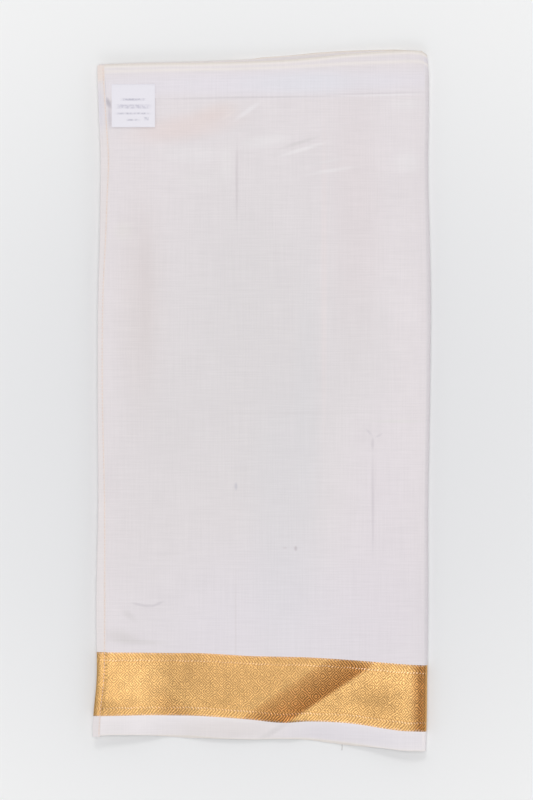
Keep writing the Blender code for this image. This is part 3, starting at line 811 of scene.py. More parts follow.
def ring_caps(rows, foot=0, over=0):
    """The faces that close one end of such a ring, each as a row of its points."""
    top = 2 * rows + foot - 1  # where the lining ends
    caps = [(i, i + 1, top - 1 - i, top - i) for i in range(rows - 1)]
    if foot:
        caps.append(tuple(range(rows - 1, rows + foot + 1)))
    if over:
        caps.append((0, *range(top, top + 1 + over)))
    return caps


print("A rim of", len(round_profile(CLOTH)), "rows rounds the long fold")

# %% Closed cloth from rings
SHARP_ANGLE = 60  # degrees between two faces, from which their edge is shaded sharp


def build_shell(name, rings, uvs, caps, materials, zones=None, warmth_and_painted_light=None):
    """A closed shell from rings[ring point][column], with a cap at each end of the path.

    uvs gives the weave's two coordinates, each in the shape of the rings. zones gives a
    material's number for each ring point, and warm a share for every point.
    """
    count, columns = rings.shape[:2]
    index = np.arange(count * columns).reshape(count, columns)
    after = np.roll(index, -1, axis=0)
    quads = np.stack([index[:, :-1], after[:, :-1], after[:, 1:], index[:, 1:]], axis=-1)
    faces = [tuple(quad) for quad in quads.reshape(-1, 4).tolist()]
    zones = np.zeros(count, int) if zones is None else zones
    face_zone = np.repeat(zones, columns - 1).tolist()
    for cap in caps:
        faces.append(tuple(int(index[i, 0]) for i in reversed(cap)))
        faces.append(tuple(int(index[i, -1]) for i in cap))
        face_zone += [int(zones[cap[0]])] * 2
    mesh = bpy.data.meshes.new(name)
    mesh.from_pydata((rings.reshape(-1, 3) * MM).tolist(), [], faces)
    layer = mesh.uv_layers.new(name="weave")
    corners = np.empty(len(mesh.loops), int)
    mesh.loops.foreach_get("vertex_index", corners)
    flat_uvs = np.stack(uvs, axis=-1).reshape(-1, 2)[corners] * MM
    layer.data.foreach_set("uv", flat_uvs.ravel())
    if warmth_and_painted_light is not None:
        attribute = mesh.attributes.new("warmth_and_painted_light", "FLOAT", "POINT")
        attribute.data.foreach_set("value", np.ravel(warmth_and_painted_light).astype(np.float32))
    for material in materials:
        mesh.materials.append(material)
    mesh.polygons.foreach_set("material_index", np.array(face_zone, np.int32))
    tidy = bmesh.new()
    tidy.from_mesh(mesh)
    bmesh.ops.recalc_face_normals(tidy, faces=tidy.faces)
    tidy.to_mesh(mesh)
    tidy.free()
    mesh.shade_smooth()
    mesh.set_sharp_from_angle(angle=math.radians(SHARP_ANGLE))
    piece = bpy.data.objects.new(name, mesh)
    bpy.context.scene.collection.objects.link(piece)
    print(f"{name}: {len(faces)} faces")
    return piece


print("Faces that meet at more than", SHARP_ANGLE, "degrees keep a sharp edge")

# %% [markdown]
# ## The outer turn
#
# Only the last turn of the cloth shows from above: the front panel, the turn at the
# right, and the back panel that the stack lies on. Rows run down the cloth and columns
# run along this path. They lie closer together where a crease or the band's step needs
# them, because a grid as fine as that all over would only make the mesh heavy. The
# corner where the long fold meets the turn is soft, so it is rounded a little. The silk,
# the border and the selvedge are woven in one piece on the loom but of different yarn, so
# each is a shell of its own, and they meet edge to edge.

# %% Where the rows and columns lie


def spaced(*stretches):
    """Places from one stretch after another, each given as (end, step)."""
    places = [0.0]
    for end, step in stretches:
        count = max(1, round((end - places[-1]) / step))
        places += list(np.linspace(places[-1], end, count + 1)[1:])
    return np.array(places)


FRONT_START, FRONT_END = -PANEL_WIDTH / 2 + HEM_WIDTH, PANEL_WIDTH / 2 - TURN_BULGE
FRONT_LENGTH = FRONT_END - FRONT_START
SILK_COLUMNS = spaced(
    (8, 1.0),
    (118, 2.8),
    (128, 0.8),  # along the left crease
    (196, 2.8),
    (206, 1.2),
    (243, 2.8),
    (253, 0.8),  # along the right one
    (FRONT_LENGTH, 2.6),
)
BORDER_COLUMNS = spaced((8, 1.0), (140, 2.4), (262, 1.0), (FRONT_LENGTH, 2.0))
SILK_ROWS = spaced((12, 0.9), (28, 2.2), (40, 0.8), (180, 2.0), (400, 3.2), (545, 2.4))
BORDER_ROWS = spaced((BORDER_WIDTH, 1.0))
SELVEDGE_ROWS = spaced((20, 1.1))
TURN_STEPS, BACK_STEPS = 14, 12

Zone = namedtuple("Zone", "front_upper front_lower back_upper back_lower shares")
SILK, BORDER, SELVEDGE = (
    Zone(*edges, rows / rows[-1])
    for edges, rows in (
        (("front_top", "border_top", "back_top", "border_top"), SILK_ROWS),
        (("border_top", "border_foot", "border_top", "border_foot"), BORDER_ROWS),
        (("border_foot", "front_foot", "border_foot", "back_foot"), SELVEDGE_ROWS),
    )
)
print(len(SILK_COLUMNS), "by", len(SILK_ROWS), "points of silk on the front panel")

# %% The points of the turn
CORNER_ROUND, CORNER_REACH = 2.6, 6.0  # mm: where the long fold meets the turn


def turn_grid(zone, columns):
    """Face and lining points of one zone of the outer turn, and its two coordinates."""
    shares = columns / FRONT_LENGTH
    nominal = mix(FRONT_START, FRONT_END, shares)[None, :]
    down = zone.shares[:, None]
    y = mix(edge(zone.front_upper, nominal), edge(zone.front_lower, nominal), down)
    left = section("left", y) + section("hem", y)
    right = section("right", y) - TURN_BULGE
    x = mix(left, right, shares[None, :])
    z = panel_height(x, y)
    front = np.stack([x, y, z], axis=-1)
    front_lining = front - np.array([0.0, 0.0, CLOTH])

    turn = np.pi * np.arange(1, TURN_STEPS) / TURN_STEPS
    radius = z[:, -1:] / 2
    back_y = mix(edge(zone.back_upper, nominal), edge(zone.back_lower, nominal), down)
    y = mix(y[:, -1:], back_y[:, -1:], ease(0.5, 1.0, turn / np.pi)[None, :])
    below = edge("front_top", FRONT_END) - y
    y = y - CORNER_ROUND * np.sin(turn)[None, :] * np.exp(-below / CORNER_REACH)
    middle = section("right", y) - TURN_BULGE
    sides = []
    for inset in (0.0, CLOTH):
        reach_x = middle + (TURN_BULGE - inset) * np.sin(turn)
        sides.append(np.stack([reach_x, y, radius + (radius - inset) * np.cos(turn)], axis=-1))

    back_shares = np.linspace(0.0, 1.0, BACK_STEPS + 1)[None, :]
    nominal = mix(FRONT_END, -PANEL_WIDTH / 2, back_shares)
    y = mix(edge(zone.back_upper, nominal), edge(zone.back_lower, nominal), down)
    right, left = section("right", y) - TURN_BULGE, section("left", y) + BACK_INSET
    x = mix(right, left, back_shares)
    back = np.stack([x, y, np.zeros_like(x)], axis=-1)
    back_lining = back + np.array([0.0, 0.0, CLOTH])

    face = np.concatenate([front, sides[0], back], axis=1)
    lining = np.concatenate([front_lining, sides[1], back_lining], axis=1)
    middle_row = face[len(face) // 2]
    steps = np.linalg.norm(np.diff(middle_row, axis=0), axis=1)
    walked = np.concatenate([[0.0], np.cumsum(steps)]) + middle_row[0, 0]
    across = np.broadcast_to(walked[None, :], face.shape[:2]).copy()
    along = np.broadcast_to(face[:, -1:, 1], face.shape[:2]).copy()
    across[:, : len(columns)], along[:, : len(columns)] = front[..., 0], front[..., 1]
    return face, lining, across, along


print(TURN_STEPS - 1, "columns round the turn and", BACK_STEPS + 1, "on the back panel")

# %% The silk ground, closed over at its long fold
RIM_WIDTH, PALE_WIDTH, PALE_SHARE = 2.6, 1.5, 0.4  # mm of painted shade on the rim, mm of painted highlight on the press line, and how near that comes to cream


def rim_shade_and_press_highlight(face):
    """How warm each point is: painted shade makes the long fold's rim browner, and a painted
    highlight makes the press line paler.
    """
    top = face[:1, :, 1]
    below = top - face[..., 1]
    fold = np.exp(-((below / RIM_WIDTH) ** 2))
    from_press = below - press_line(face[:1, :, 0])
    return np.maximum(fold, PALE_SHARE * np.exp(-((from_press / PALE_WIDTH) ** 2)))


face, lining, across, along = turn_grid(SILK, SILK_COLUMNS)
over = rim_points(lining[0], face[0], unit(face[0] - face[1]), round_profile(CLOTH))
# painted shade on the long fold's rim, all brown round its roll, and a painted highlight along
# the press line
warmth_and_painted_light = rim_shade_and_press_highlight(face)
rim = len(over)
silk_ground = build_shell(
    "silk_ground",
    go_round(face, lining, over=over),
    [go_round(values, values, over=[values[0]] * rim) for values in (across, along)],
    ring_caps(len(face), over=rim),
    [ivory_silk],
    warmth_and_painted_light=go_round(warmth_and_painted_light, warmth_and_painted_light, over=[np.ones(len(warmth_and_painted_light[0]))] * rim),
)

# %% The gold border, flush with the silk above and the selvedge below
FULL_SHADE_SLOPE = 0.12  # mm for each mm: from this slope on, the zari takes its full painted shade
ROLL_SHADE = 0.8  # how much painted shade the zari takes where the panel rolls down before its turn

face, lining, across, _ = turn_grid(BORDER, BORDER_COLUMNS)
x, y = face[..., 0], face[..., 1]
# painted shade on the zari where the tuck tips away and where the panel rolls into its turn
slope = tuck_rise(x, y + 0.5) - tuck_rise(x, y - 0.5)
tip_shade = np.clip(slope / FULL_SHADE_SLOPE, 0.0, 1.0)
tip_shade[:, len(BORDER_COLUMNS) :] = 0.0
into_turn = x - (section("right", y) - TURN_BULGE - ROLL_WIDTH)
tip_shade = np.maximum(tip_shade, ROLL_SHADE * np.clip(into_turn / ROLL_WIDTH, 0.0, 1.0))
up_border = np.broadcast_to((BORDER_WIDTH - BORDER_ROWS)[:, None], across.shape)
zari_border = build_shell(
    "zari_border",
    go_round(face, lining),
    [go_round(values, values) for values in (across, up_border)],
    ring_caps(len(face)),
    [gold_zari],
    warmth_and_painted_light=go_round(tip_shade, tip_shade),
)

# %% [markdown]
# ## The two selvedges at the foot
#
# The cloth is doubled, so its foot isn't a fold but two selvedges that lie one on the
# other. One rounded rim would be enough for a thick cloth, but here the eye looks for the
# gap. So we close the shell with two thin rounded lips and a groove between them. The
# under lip has a reach of its own, which wanders a little past the upper one, so both
# show, as they do where a cloth was folded by hand.

# %% The selvedge strip
LIP = 0.38  # each layer's share of the thickness
LIP_EDGE = 0.06  # as a share too, how near a lip's rounding starts to its flat side
LIP_OUT = (0.09, 0.16, 0.09, 0.0)  # mm, how far each point of a lip stands out
GROOVE = 3.2  # mm, how deep the two layers part
HIDDEN_WANDER = 0.4  # the under lip wanders less round the turn and on the back
FOOT_WARM, RIM_WARM, FOOT_WARM_REACH = 0.5, 0.75, 0.9  # browner along the selvedge's edge and lips
LIP_WANDER = (  # mm across, and mm that the under lip reaches past the upper one
    (-156, -0.6),
    (-112, -0.4),
    (-85, 1.2),
    (-66, 1.9),
    (-48, 1.2),
    (-20, 0.3),
    (20, 0.4),
    (45, 1.1),
    (60, 1.8),
    (82, 1.9),
    (100, 0.8),
    (120, -0.6),
    (156, -0.3),
)

face, lining, across, along = turn_grid(SELVEDGE, BORDER_COLUMNS)
down = unit(face[-1] - face[-2])
wander = np.interp(face[-1][:, 0], *zip(*LIP_WANDER))[:, None]
wander[len(BORDER_COLUMNS) :] *= HIDDEN_WANDER
lip = list(zip(LIP_OUT, (LIP_EDGE, LIP / 2, LIP - LIP_EDGE, LIP)))
groove = [(-GROOVE, LIP + LIP_EDGE), (-GROOVE, 1 - LIP - LIP_EDGE)]
foot = rim_points(face[-1], lining[-1], down, lip + groove)
along_floor = unit(down * (1.0, 1.0, 0.0))  # the under lip lies level as it wanders
for out, share in lip:
    under = mix(face[-1], lining[-1], 1 - LIP + share) + down * out
    foot.append(under + along_floor * wander)
from_foot = face[..., 1] - face[-1:, :, 1]
warmth_and_painted_light = FOOT_WARM * np.exp(-((from_foot / FOOT_WARM_REACH) ** 2))
rim = len(foot)
selvedge_strip = build_shell(
    "selvedge_strip",
    go_round(face, lining, foot=foot),
    [
        go_round(across, across, foot=[across[0]] * rim),
        go_round(along, along, foot=[along[-1]] * rim),
    ],
    ring_caps(len(face), foot=rim),
    [selvedge_silk],
    warmth_and_painted_light=go_round(warmth_and_painted_light, warmth_and_painted_light, foot=[np.full(len(warmth_and_painted_light[0]), RIM_WARM)] * rim),
)

# %% [markdown]
# ## The panels folded inside
#
# Ten more panels lie between the front and the back one, all one length of cloth that
# goes to and fro. Their edges show at the left, under the hem, and at the two ends. Ten
# flat slabs would look like card, so a path in the XZ plane makes the turns, and a ring
# along Y makes each panel's rounded fold at the top and its two selvedges at the foot.
# The same weave materials are given to the faces by where they lie along Y. The panels
# don't line up: each has its own reach at the top and its own inset at the end.

# %% The path of the folded panels
LEAVES = 10
LEAF_SHARE = 0.84  # of the room for each panel that its cloth fills
Reach = namedtuple("Reach", "toward_back end_inset")
REACHES = (
    Reach(0.95, 2.6),
    Reach(0.80, 2.2),
    Reach(0.42, 1.1),
    Reach(0.50, 0.9),
    Reach(0.66, 1.9),
    Reach(0.52, 1.7),
    Reach(0.16, 0.7),
    Reach(0.10, 0.5),
    Reach(0.0, 1.5),
    Reach(0.0, 1.1),
)
LEAF_STATIONS, LEAF_TURN = 9, 5
INNER_LOW, INNER_TOP_GAP = CLOTH + 0.25, CLOTH + 0.35  # clear of the outer turn

stations = []  # (share across, level in leaves, how far past the end, which leaf)
for leaf in range(LEAVES):
    shares = np.linspace(0.0, 1.0, LEAF_STATIONS)
    if leaf % 2 == 0:
        shares = shares[::-1]
    stations += [(share, leaf + 0.5, 0.0, leaf) for share in shares]
    if leaf < LEAVES - 1:
        for i in range(1, LEAF_TURN):
            turn = math.pi * i / LEAF_TURN
            level = leaf + 1 - 0.5 * math.cos(turn)
            stations.append((shares[-1], level, math.sin(turn), leaf + 0.5))
print(len(stations), "stations along the folded panels")

# %% The rings of the folded panels
INNER_ROWS, BAND_ROWS = 36, 4  # rows in all, and rows in the border and in the selvedge
BACK_CLEAR = 0.5  # mm, how far a leaf keeps inside the back panel
LEAF_LEFT_GAP, LEAF_RIGHT_GAP = 1.2, 0.2  # mm, from the outer turn
LEAF_LEFT_TURN, LEAF_RIGHT_TURN = -1.2, 0.9  # mm, how far a leaf's turn bulges


def leaf_ring(share, level, past, leaf):
    """One station's two sides, the upper and the lower, as points along Y."""
    low, high = REACHES[int(leaf)], REACHES[min(int(math.ceil(leaf)), LEAVES - 1)]
    part = leaf - int(leaf)
    toward_back = mix(low.toward_back, high.toward_back, part)
    end_inset = mix(low.end_inset, high.end_inset, part)
    nominal = mix(-PANEL_WIDTH / 2, PANEL_WIDTH / 2, share)
    back_top, back_foot = edge("back_top", nominal), edge("back_foot", nominal)
    top = mix(edge("layers_top", nominal), back_top - BACK_CLEAR, toward_back)
    foot = mix(edge("layers_foot", nominal), back_foot + BACK_CLEAR, toward_back)
    border_top, border_foot = edge("border_top", nominal), edge("border_foot", nominal)
    silk_y = np.linspace(top, border_top, INNER_ROWS - 2 * BAND_ROWS)
    border_y = np.linspace(border_top, border_foot, BAND_ROWS + 1)[1:]
    selvedge_y = np.linspace(border_foot, foot, BAND_ROWS + 1)[1:]
    y = np.concatenate([silk_y, border_y, selvedge_y])
    left = section("left", y) + end_inset + LEAF_LEFT_GAP
    right = section("right", y) - TURN_BULGE - LEAF_RIGHT_GAP
    x = mix(left, right, share) + past * (LEAF_RIGHT_TURN if share > 0.5 else LEAF_LEFT_TURN)
    low_z, high_z = INNER_LOW, stack_height(x, y) - INNER_TOP_GAP
    pitch = (high_z - low_z) / LEAVES
    z = low_z + pitch * level
    half = pitch * LEAF_SHARE / 2
    tilt = math.pi / 2 * past * (1 if share > 0.5 else -1)
    normal = np.array([math.sin(tilt), 0.0, math.cos(tilt)])
    middle = np.stack([x, y, z], axis=-1)
    offset = normal[None, :] * half[:, None]
    return middle + offset, middle - offset


uppers, lowers = zip(*(leaf_ring(*station) for station in stations))
upper, lower = np.stack(uppers, axis=1), np.stack(lowers, axis=1)
thickness = np.linalg.norm(upper - lower, axis=-1).mean()
print(f"Each folded panel is {thickness:.2f} mm thick")

# %% The folded panels as one shell
# (out, across) round a leaf's foot: two selvedges with a gap 2 mm deep between them
LEAF_FOOT = ((0.14, 0.2), (0.0, 0.42), (-2.0, 0.46), (-2.0, 0.54), (0.0, 0.58), (0.14, 0.8))
# painted shade: every rim of the folded panels is browner, at their top edges and at their foot
LEAF_RIM_WARM = 0.6

upward = np.array([0.0, 1.0, 0.0])
over = rim_points(lower[0], upper[0], upward, round_profile(thickness, 4))
foot = rim_points(upper[-1], lower[-1], -upward, LEAF_FOOT)
rings = go_round(upper, lower, foot, over)
row_zone = np.repeat([0, 1, 2], [INNER_ROWS - 2 * BAND_ROWS - 1, BAND_ROWS, BAND_ROWS])
zones = np.concatenate([row_zone, [2] * (len(foot) + 1), row_zone[::-1], [0] * (len(over) + 1)])
steps = np.linalg.norm(np.diff(upper[INNER_ROWS // 2], axis=0), axis=1)
walked = np.concatenate([[0.0], np.cumsum(steps)])
plain, rim = np.zeros(upper.shape[:2]), np.full(len(stations), LEAF_RIM_WARM)
folded_panels = build_shell(
    "folded_panels",
    rings,
    [np.broadcast_to(walked, rings.shape[:2]), rings[..., 1]],
    ring_caps(INNER_ROWS, len(foot), len(over)),
    [folded_silk, gold_zari, selvedge_silk],
    zones=zones,
    warmth_and_painted_light=go_round(plain, plain, [rim] * len(foot), [rim] * len(over)),
)

# %% [markdown]
# ## The hem
#
# The cut end of the cloth is turned twice, 5 to 9 mm wide, and sewn down with a running
# stitch. The layers in it make it stand above the panel, round at the outside and stepped
# at the inside, and the thread pulls a shallow furrow into it. A strip with a Bevel
# modifier would have the same edge on both sides. So the hem's section is a ring of
# points in XZ, worked out again at each place along Y, because its width and its height
# both change.

# %% The hem's section along its length
HEM_STITCH = 1.35  # mm from the hem's inner edge to its stitches
STITCH_DIP, STITCH_DIP_WIDTH, STITCH_DIP_WAVE = 0.16, 0.9, 0.06
WAVE_SIZE = 9.0  # mm, how often the furrow gets deeper and shallower
HEM_DROOP, HEM_CROWN, HEM_CROWN_SHAPE = 0.4, 0.2, 0.8  # its outer fold lies low, its middle high
HEM_TOP_SHARES = (0.15, 0.3, 0.45, 0.58, 0.68, 0.78, 0.88, 0.96)  # from its crown to its seam
HEM_EDGE_ROUND = 0.06


def seam_height(seam, y):
    """How high the panel lies under the hem's inner edge."""
    return stack_height(seam, y) + band_rise(seam, y) + uneven(seam, y) + press_rise(seam, y)


def hem_rings(upper_line, lower_line, count):
    """Rings of the hem from one cross line to the next, and their weave coordinates."""
    hem_middle = -PANEL_WIDTH / 2 + HEM_WIDTH / 2
    left_end = EDGES[0].across
    y = np.linspace(edge(upper_line, hem_middle), edge(lower_line, left_end), count + 1)
    left = section("left", y)
    seam = left + section("hem", y)
    wave = np.array([noise.noise(Vector((0.0, b / WAVE_SIZE, 1.0))) for b in y])
    base = seam_height(seam, y)
    foot_left = stack_height(left, y) - CLOTH
    top_left = stack_height(left, y) + band_rise(seam, y) + HEM_RISE + press_rise(seam, y)
    top_left = top_left - HEM_DROOP
    radius = (top_left - foot_left) / 2
    out, high = [], []
    for degrees in range(-90, 91, 18):
        turn = math.radians(degrees)
        out.append(left + radius - radius * np.cos(turn))
        high.append(foot_left + radius + radius * np.sin(turn))
    crown_start = left + radius
    for share in HEM_TOP_SHARES:
        x = mix(crown_start, seam, share)
        from_stitch = (x - (seam - HEM_STITCH)) / STITCH_DIP_WIDTH
        crowned = min(1.0, share / HEM_TOP_SHARES[-1]) ** HEM_CROWN_SHAPE
        dip = (STITCH_DIP + STITCH_DIP_WAVE * wave) * np.exp(-(from_stitch**2))
        out.append(x)
        level = mix(top_left, base + HEM_PULL, share)
        high.append(level + HEM_CROWN * np.sin(np.pi * crowned) - dip)
    out += [seam, seam]
    high += [base + HEM_PULL - HEM_EDGE_ROUND, base - CLOTH]
    out, high = np.stack(out), np.stack(high)
    points = np.stack([out, np.broadcast_to(y, out.shape), high], axis=-1)
    walked = np.cumsum(np.linalg.norm(np.diff(points[:, 0], axis=0), axis=-1))
    across = np.concatenate([[0.0], walked]) - PANEL_WIDTH / 2
    return points, np.broadcast_to(across[:, None], out.shape), y


print(f"The hem is {curve(SECTIONS, 'hem', 0.0):.1f} mm wide halfway along")

# %% The hem in its three yarns
HEM_WARM, FOLD_WARM, SEAM_WARM = 0.06, 0.5, 0.3  # its top, its outer fold and its seam
TOP_WARM, TOP_STARTS = 0.45, (291.0, 296.0)  # browner again above the label

hem_pieces = {}
for name, zone, count, material in (
    ("hem_silk", SILK, 220, hem_silk),
    ("hem_border", BORDER, 34, gold_zari),
    ("hem_selvedge", SELVEDGE, 10, hem_silk),
):
    points, ring_u, y = hem_rings(zone.front_upper, zone.front_lower, count)
    ring = len(points)
    warmth_and_painted_light = np.full(points.shape[:2], HEM_WARM)
    warmth_and_painted_light[: ring // 3] = FOLD_WARM
    warmth_and_painted_light[ring - 5 : ring - 3] = SEAM_WARM
    # on the zari, half the same shares give painted shade, most on the hem's outer fold
    if name == "hem_border":
        warmth_and_painted_light = 0.5 * warmth_and_painted_light
        y = np.linspace(BORDER_WIDTH, 0.0, count + 1)
    if name == "hem_silk":
        warmth_and_painted_light = np.maximum(warmth_and_painted_light, TOP_WARM * ease(*TOP_STARTS, y)[None, :])
    hem_pieces[name] = build_shell(
        name,
        points,
        [ring_u, np.broadcast_to(y, ring_u.shape)],
        [tuple(range(ring))],
        [material],
        warmth_and_painted_light=warmth_and_painted_light,
    )

# %% [markdown]
# ## The hem's stitches
#
# A running stitch is the same short bar of thread over and over along a line, which is
# what Geometry Nodes are for. A bump in the material would look flat from the side. We
# give the tree the stitch line as a curve. It puts a point every 3.2 mm, sets one small
# rounded bar on each, turns the bar along the line, and varies its length a little from a
# fixed seed. The result is turned into a plain mesh, so that it exports like any other
# piece. The thread is a twisted cotton, warmer and duller than the silk.

# %% The sewing thread and the stitch line
STITCH_PITCH, STITCH_LONG, THREAD = 3.2, 2.4, 0.5  # mm; the thread is drawn 0.1 mm too thick
STITCH_LIFT, LINE_STEP = 0.12, 1.5  # mm, above the cloth, and between the line's points
TOP_MARGIN, FOOT_MARGIN = 4.0, 3.0  # mm, from the cloth's edges to the first and last stitch
STITCH_ACROSS = -150.0  # mm, about where the line starts

sewing_thread, tree, shader = new_material("twisted cotton thread")
coordinates = add_node(tree, "ShaderNodeTexCoord")
plies = add_node(
    tree,
    "ShaderNodeTexWave",
    {"Vector": coordinates.outputs["Object"], "Scale": 900.0, "Distortion": 1.0},
    bands_direction="DIAGONAL",
)
ply_colour = add_node(
    tree,
    "ShaderNodeMix",
    {"Factor": plies.outputs["Fac"], 6: linear("#E6CDBF"), 7: linear("#F4E2D8")},
    data_type="RGBA",
)
set_sockets(tree, shader, {"Base Color": ply_colour.outputs[2], "Roughness": 0.7})

stitch_y = np.arange(
    edge("front_top", STITCH_ACROSS) - TOP_MARGIN,
    edge("front_foot", EDGES[0].across) + FOOT_MARGIN,
    -LINE_STEP,
)
seam = section("left", stitch_y) + section("hem", stitch_y)
stitch_z = seam_height(seam, stitch_y) + HEM_PULL + STITCH_LIFT
stitch_points = np.stack([seam - HEM_STITCH, stitch_y, stitch_z], axis=-1) * MM
line = bpy.data.meshes.new("stitch line")
line.from_pydata(stitch_points.tolist(), [(i, i + 1) for i in range(len(stitch_y) - 1)], [])
stitch_line = bpy.data.objects.new("stitch line", line)
bpy.context.scene.collection.objects.link(stitch_line)
print(f"The line is {stitch_y[0] - stitch_y[-1]:.0f} mm long")

# %% The tree that sews
SHORTEST, LONGEST = 0.82, 1.12  # how much a stitch's length varies

stitches = bpy.data.node_groups.new("running stitch", "GeometryNodeTree")
for socket_name, kind, way in (
    ("Line", "NodeSocketGeometry", "INPUT"),
    ("Pitch", "NodeSocketFloat", "INPUT"),
    ("Length", "NodeSocketFloat", "INPUT"),
    ("Thread", "NodeSocketFloat", "INPUT"),
    ("Seed", "NodeSocketInt", "INPUT"),
    ("Material", "NodeSocketMaterial", "INPUT"),
    ("Stitches", "NodeSocketGeometry", "OUTPUT"),
):
    stitches.interface.new_socket(socket_name, in_out=way, socket_type=kind)
given = add_node(stitches, "NodeGroupInput").outputs
path = add_node(stitches, "GeometryNodeMeshToCurve", {"Mesh": given["Line"]})
places = add_node(
    stitches,
    "GeometryNodeCurveToPoints",
    {"Curve": path.outputs[0], "Length": given["Pitch"]},
    mode="LENGTH",
)
bar = add_node(stitches, "GeometryNodeMeshUVSphere", {"Segments": 8, "Rings": 5, "Radius": 0.5})
vary = add_node(
    stitches,
    "FunctionNodeRandomValue",
    {2: SHORTEST, 3: LONGEST, "Seed": given["Seed"]},
    data_type="FLOAT",
)
long = add_node(
    stitches, "ShaderNodeMath", {0: given["Length"], 1: vary.outputs[1]}, operation="MULTIPLY"
)
size = add_node(
    stitches,
    "ShaderNodeCombineXYZ",
    {0: given["Thread"], 1: long.outputs[0], 2: given["Thread"]},
)
turned = add_node(
    stitches, "FunctionNodeAlignRotationToVector", {"Vector": places.outputs["Tangent"]}, axis="Y"
)
bars = add_node(
    stitches,
    "GeometryNodeInstanceOnPoints",
    {
        "Points": places.outputs["Points"],
        "Instance": bar.outputs["Mesh"],
        "Rotation": turned.outputs[0],
        "Scale": size.outputs[0],
    },
)
real = add_node(stitches, "GeometryNodeRealizeInstances", {0: bars.outputs[0]})
finished = add_node(
    stitches, "GeometryNodeSetMaterial", {0: real.outputs[0], "Material": given["Material"]}
)
add_node(stitches, "NodeGroupOutput", {"Stitches": finished.outputs[0]})
print("The tree has", len(stitches.nodes), "nodes")

# %% Run the tree and keep its result as a plain mesh


def run_tree(source, tree, values, name):
    """Runs a Geometry Nodes tree on an object and gives its result as a new object."""
    modifier = source.modifiers.new(tree.name, "NODES")
    modifier.node_group = tree
    for item in tree.interface.items_tree:
        if item.item_type == "SOCKET" and item.in_out == "INPUT" and item.name in values:
            modifier[item.identifier] = values[item.name]
    graph = bpy.context.evaluated_depsgraph_get()
    mesh = bpy.data.meshes.new_from_object(source.evaluated_get(graph))
    bpy.data.objects.remove(source, do_unlink=True)
    mesh.name = name
    mesh.shade_smooth()
    made = bpy.data.objects.new(name, mesh)
    bpy.context.scene.collection.objects.link(made)
    print(f"{name}: {len(mesh.polygons)} faces")
    return made


values = {
    "Pitch": STITCH_PITCH * MM,
    "Length": STITCH_LONG * MM,
    "Thread": THREAD * MM,
    "Seed": 7,
    "Material": sewing_thread,
}
hem_stitches = run_tree(stitch_line, stitches, values, "hem_stitches")

# %% [markdown]
# ## The label
#
# A small square of woven satin tape, hot-cut at its sides, lies at the top left. A
# Shrinkwrap modifier could press it onto the panel, but tape is stiffer than silk. So it
# is a thin shell of its own that follows the panel loosely: it bridges the band's step,
# and its free corners lift a little. What was printed on it is left out, and five faint
# bars, broken up by a noise, stand where its rows were. Satin floats its warp over many
# wefts, which gives fine ribs and a slight gloss.

# %% The label's satin
Bar = namedtuple("Bar", "left right middle high colour")
BARS = (
    Bar(8.0, 32.0, 25.4, 2.4, "#BCB9C7"),
    Bar(2.5, 37.0, 18.9, 4.6, "#C8C5D2"),
    Bar(2.5, 37.0, 12.5, 2.0, "#BFBCC9"),
    Bar(13.0, 27.0, 6.6, 2.0, "#C3C0CC"),
    Bar(29.5, 34.5, 7.6, 3.6, "#C3C1CD"),
)
INK_SIZE, INK_STRENGTH = 2.6, 0.85  # mm, of the noise that breaks the bars up

label_satin, tree, shader = new_material("printed satin tape")
weave = add_node(tree, "ShaderNodeUVMap", uv_map="weave")
ribs = add_node(
    tree,
    "ShaderNodeTexWave",
    {"Vector": weave.outputs[0], "Scale": 320.0, "Distortion": 0.4},
    bands_direction="Y",
)
broken = add_node(
    tree,
    "ShaderNodeTexNoise",
    {"Vector": weave.outputs[0], "Scale": PER_METRE / INK_SIZE, "Detail": 1.0},
)
ink = add_node(
    tree, "ShaderNodeMapRange", {"Value": broken.outputs[0], 1: 0.4, 2: 0.6, 3: 0.35, 4: 1.0}
)
colour = linear("#ECE9F0")
for bar in BARS:
    place = add_node(
        tree,
        "ShaderNodeMapping",
        {
            "Vector": weave.outputs[0],
            "Location": ((bar.left + bar.right) / 2 * MM, bar.middle * MM, 0.0),
            "Scale": ((bar.right - bar.left) / 2 * MM, bar.high / 2 * MM, 1.0),
        },
        vector_type="TEXTURE",
    )
    size = add_node(tree, "ShaderNodeVectorMath", {0: place.outputs[0]}, operation="ABSOLUTE")
    parts = add_node(tree, "ShaderNodeSeparateXYZ", {0: size.outputs[0]})
    away = add_node(
        tree, "ShaderNodeMath", {0: parts.outputs[0], 1: parts.outputs[1]}, operation="MAXIMUM"
    )
    inside = add_node(
        tree,
        "ShaderNodeMapRange",
        {"Value": away.outputs[0], 1: 0.5, 2: 1.1, 3: INK_STRENGTH, 4: 0.0},
        interpolation_type="SMOOTHSTEP",
    )
    inked = add_node(
        tree, "ShaderNodeMath", {0: inside.outputs[0], 1: ink.outputs[0]}, operation="MULTIPLY"
    )
    colour = add_node(
        tree,
        "ShaderNodeMix",
        {"Factor": inked.outputs[0], 6: colour, 7: linear(bar.colour)},
        data_type="RGBA",
    ).outputs[2]
bump = add_node(
    tree, "ShaderNodeBump", {"Height": ribs.outputs["Fac"], "Strength": 0.15, "Distance": 0.0001}
)
set_sockets(
    tree, shader, {"Base Color": colour, "Normal": bump.outputs[0], "Roughness": 0.42}
)
print(label_satin.name, "has", len(BARS), "faint bars")

# %% The label's form
LABEL_LEFT, LABEL_TOP = -138.4, 290.5
LABEL_WIDTH, LABEL_HEIGHT, LABEL_THICK = 40.0, 39.4, 0.3
LABEL_CLEAR, LABEL_CELLS = 0.15, 24
CURL_RIGHT, CURL_FOOT, CURL_SHAPE = 0.25, 0.2, 4  # mm, mm, and how late the lift begins

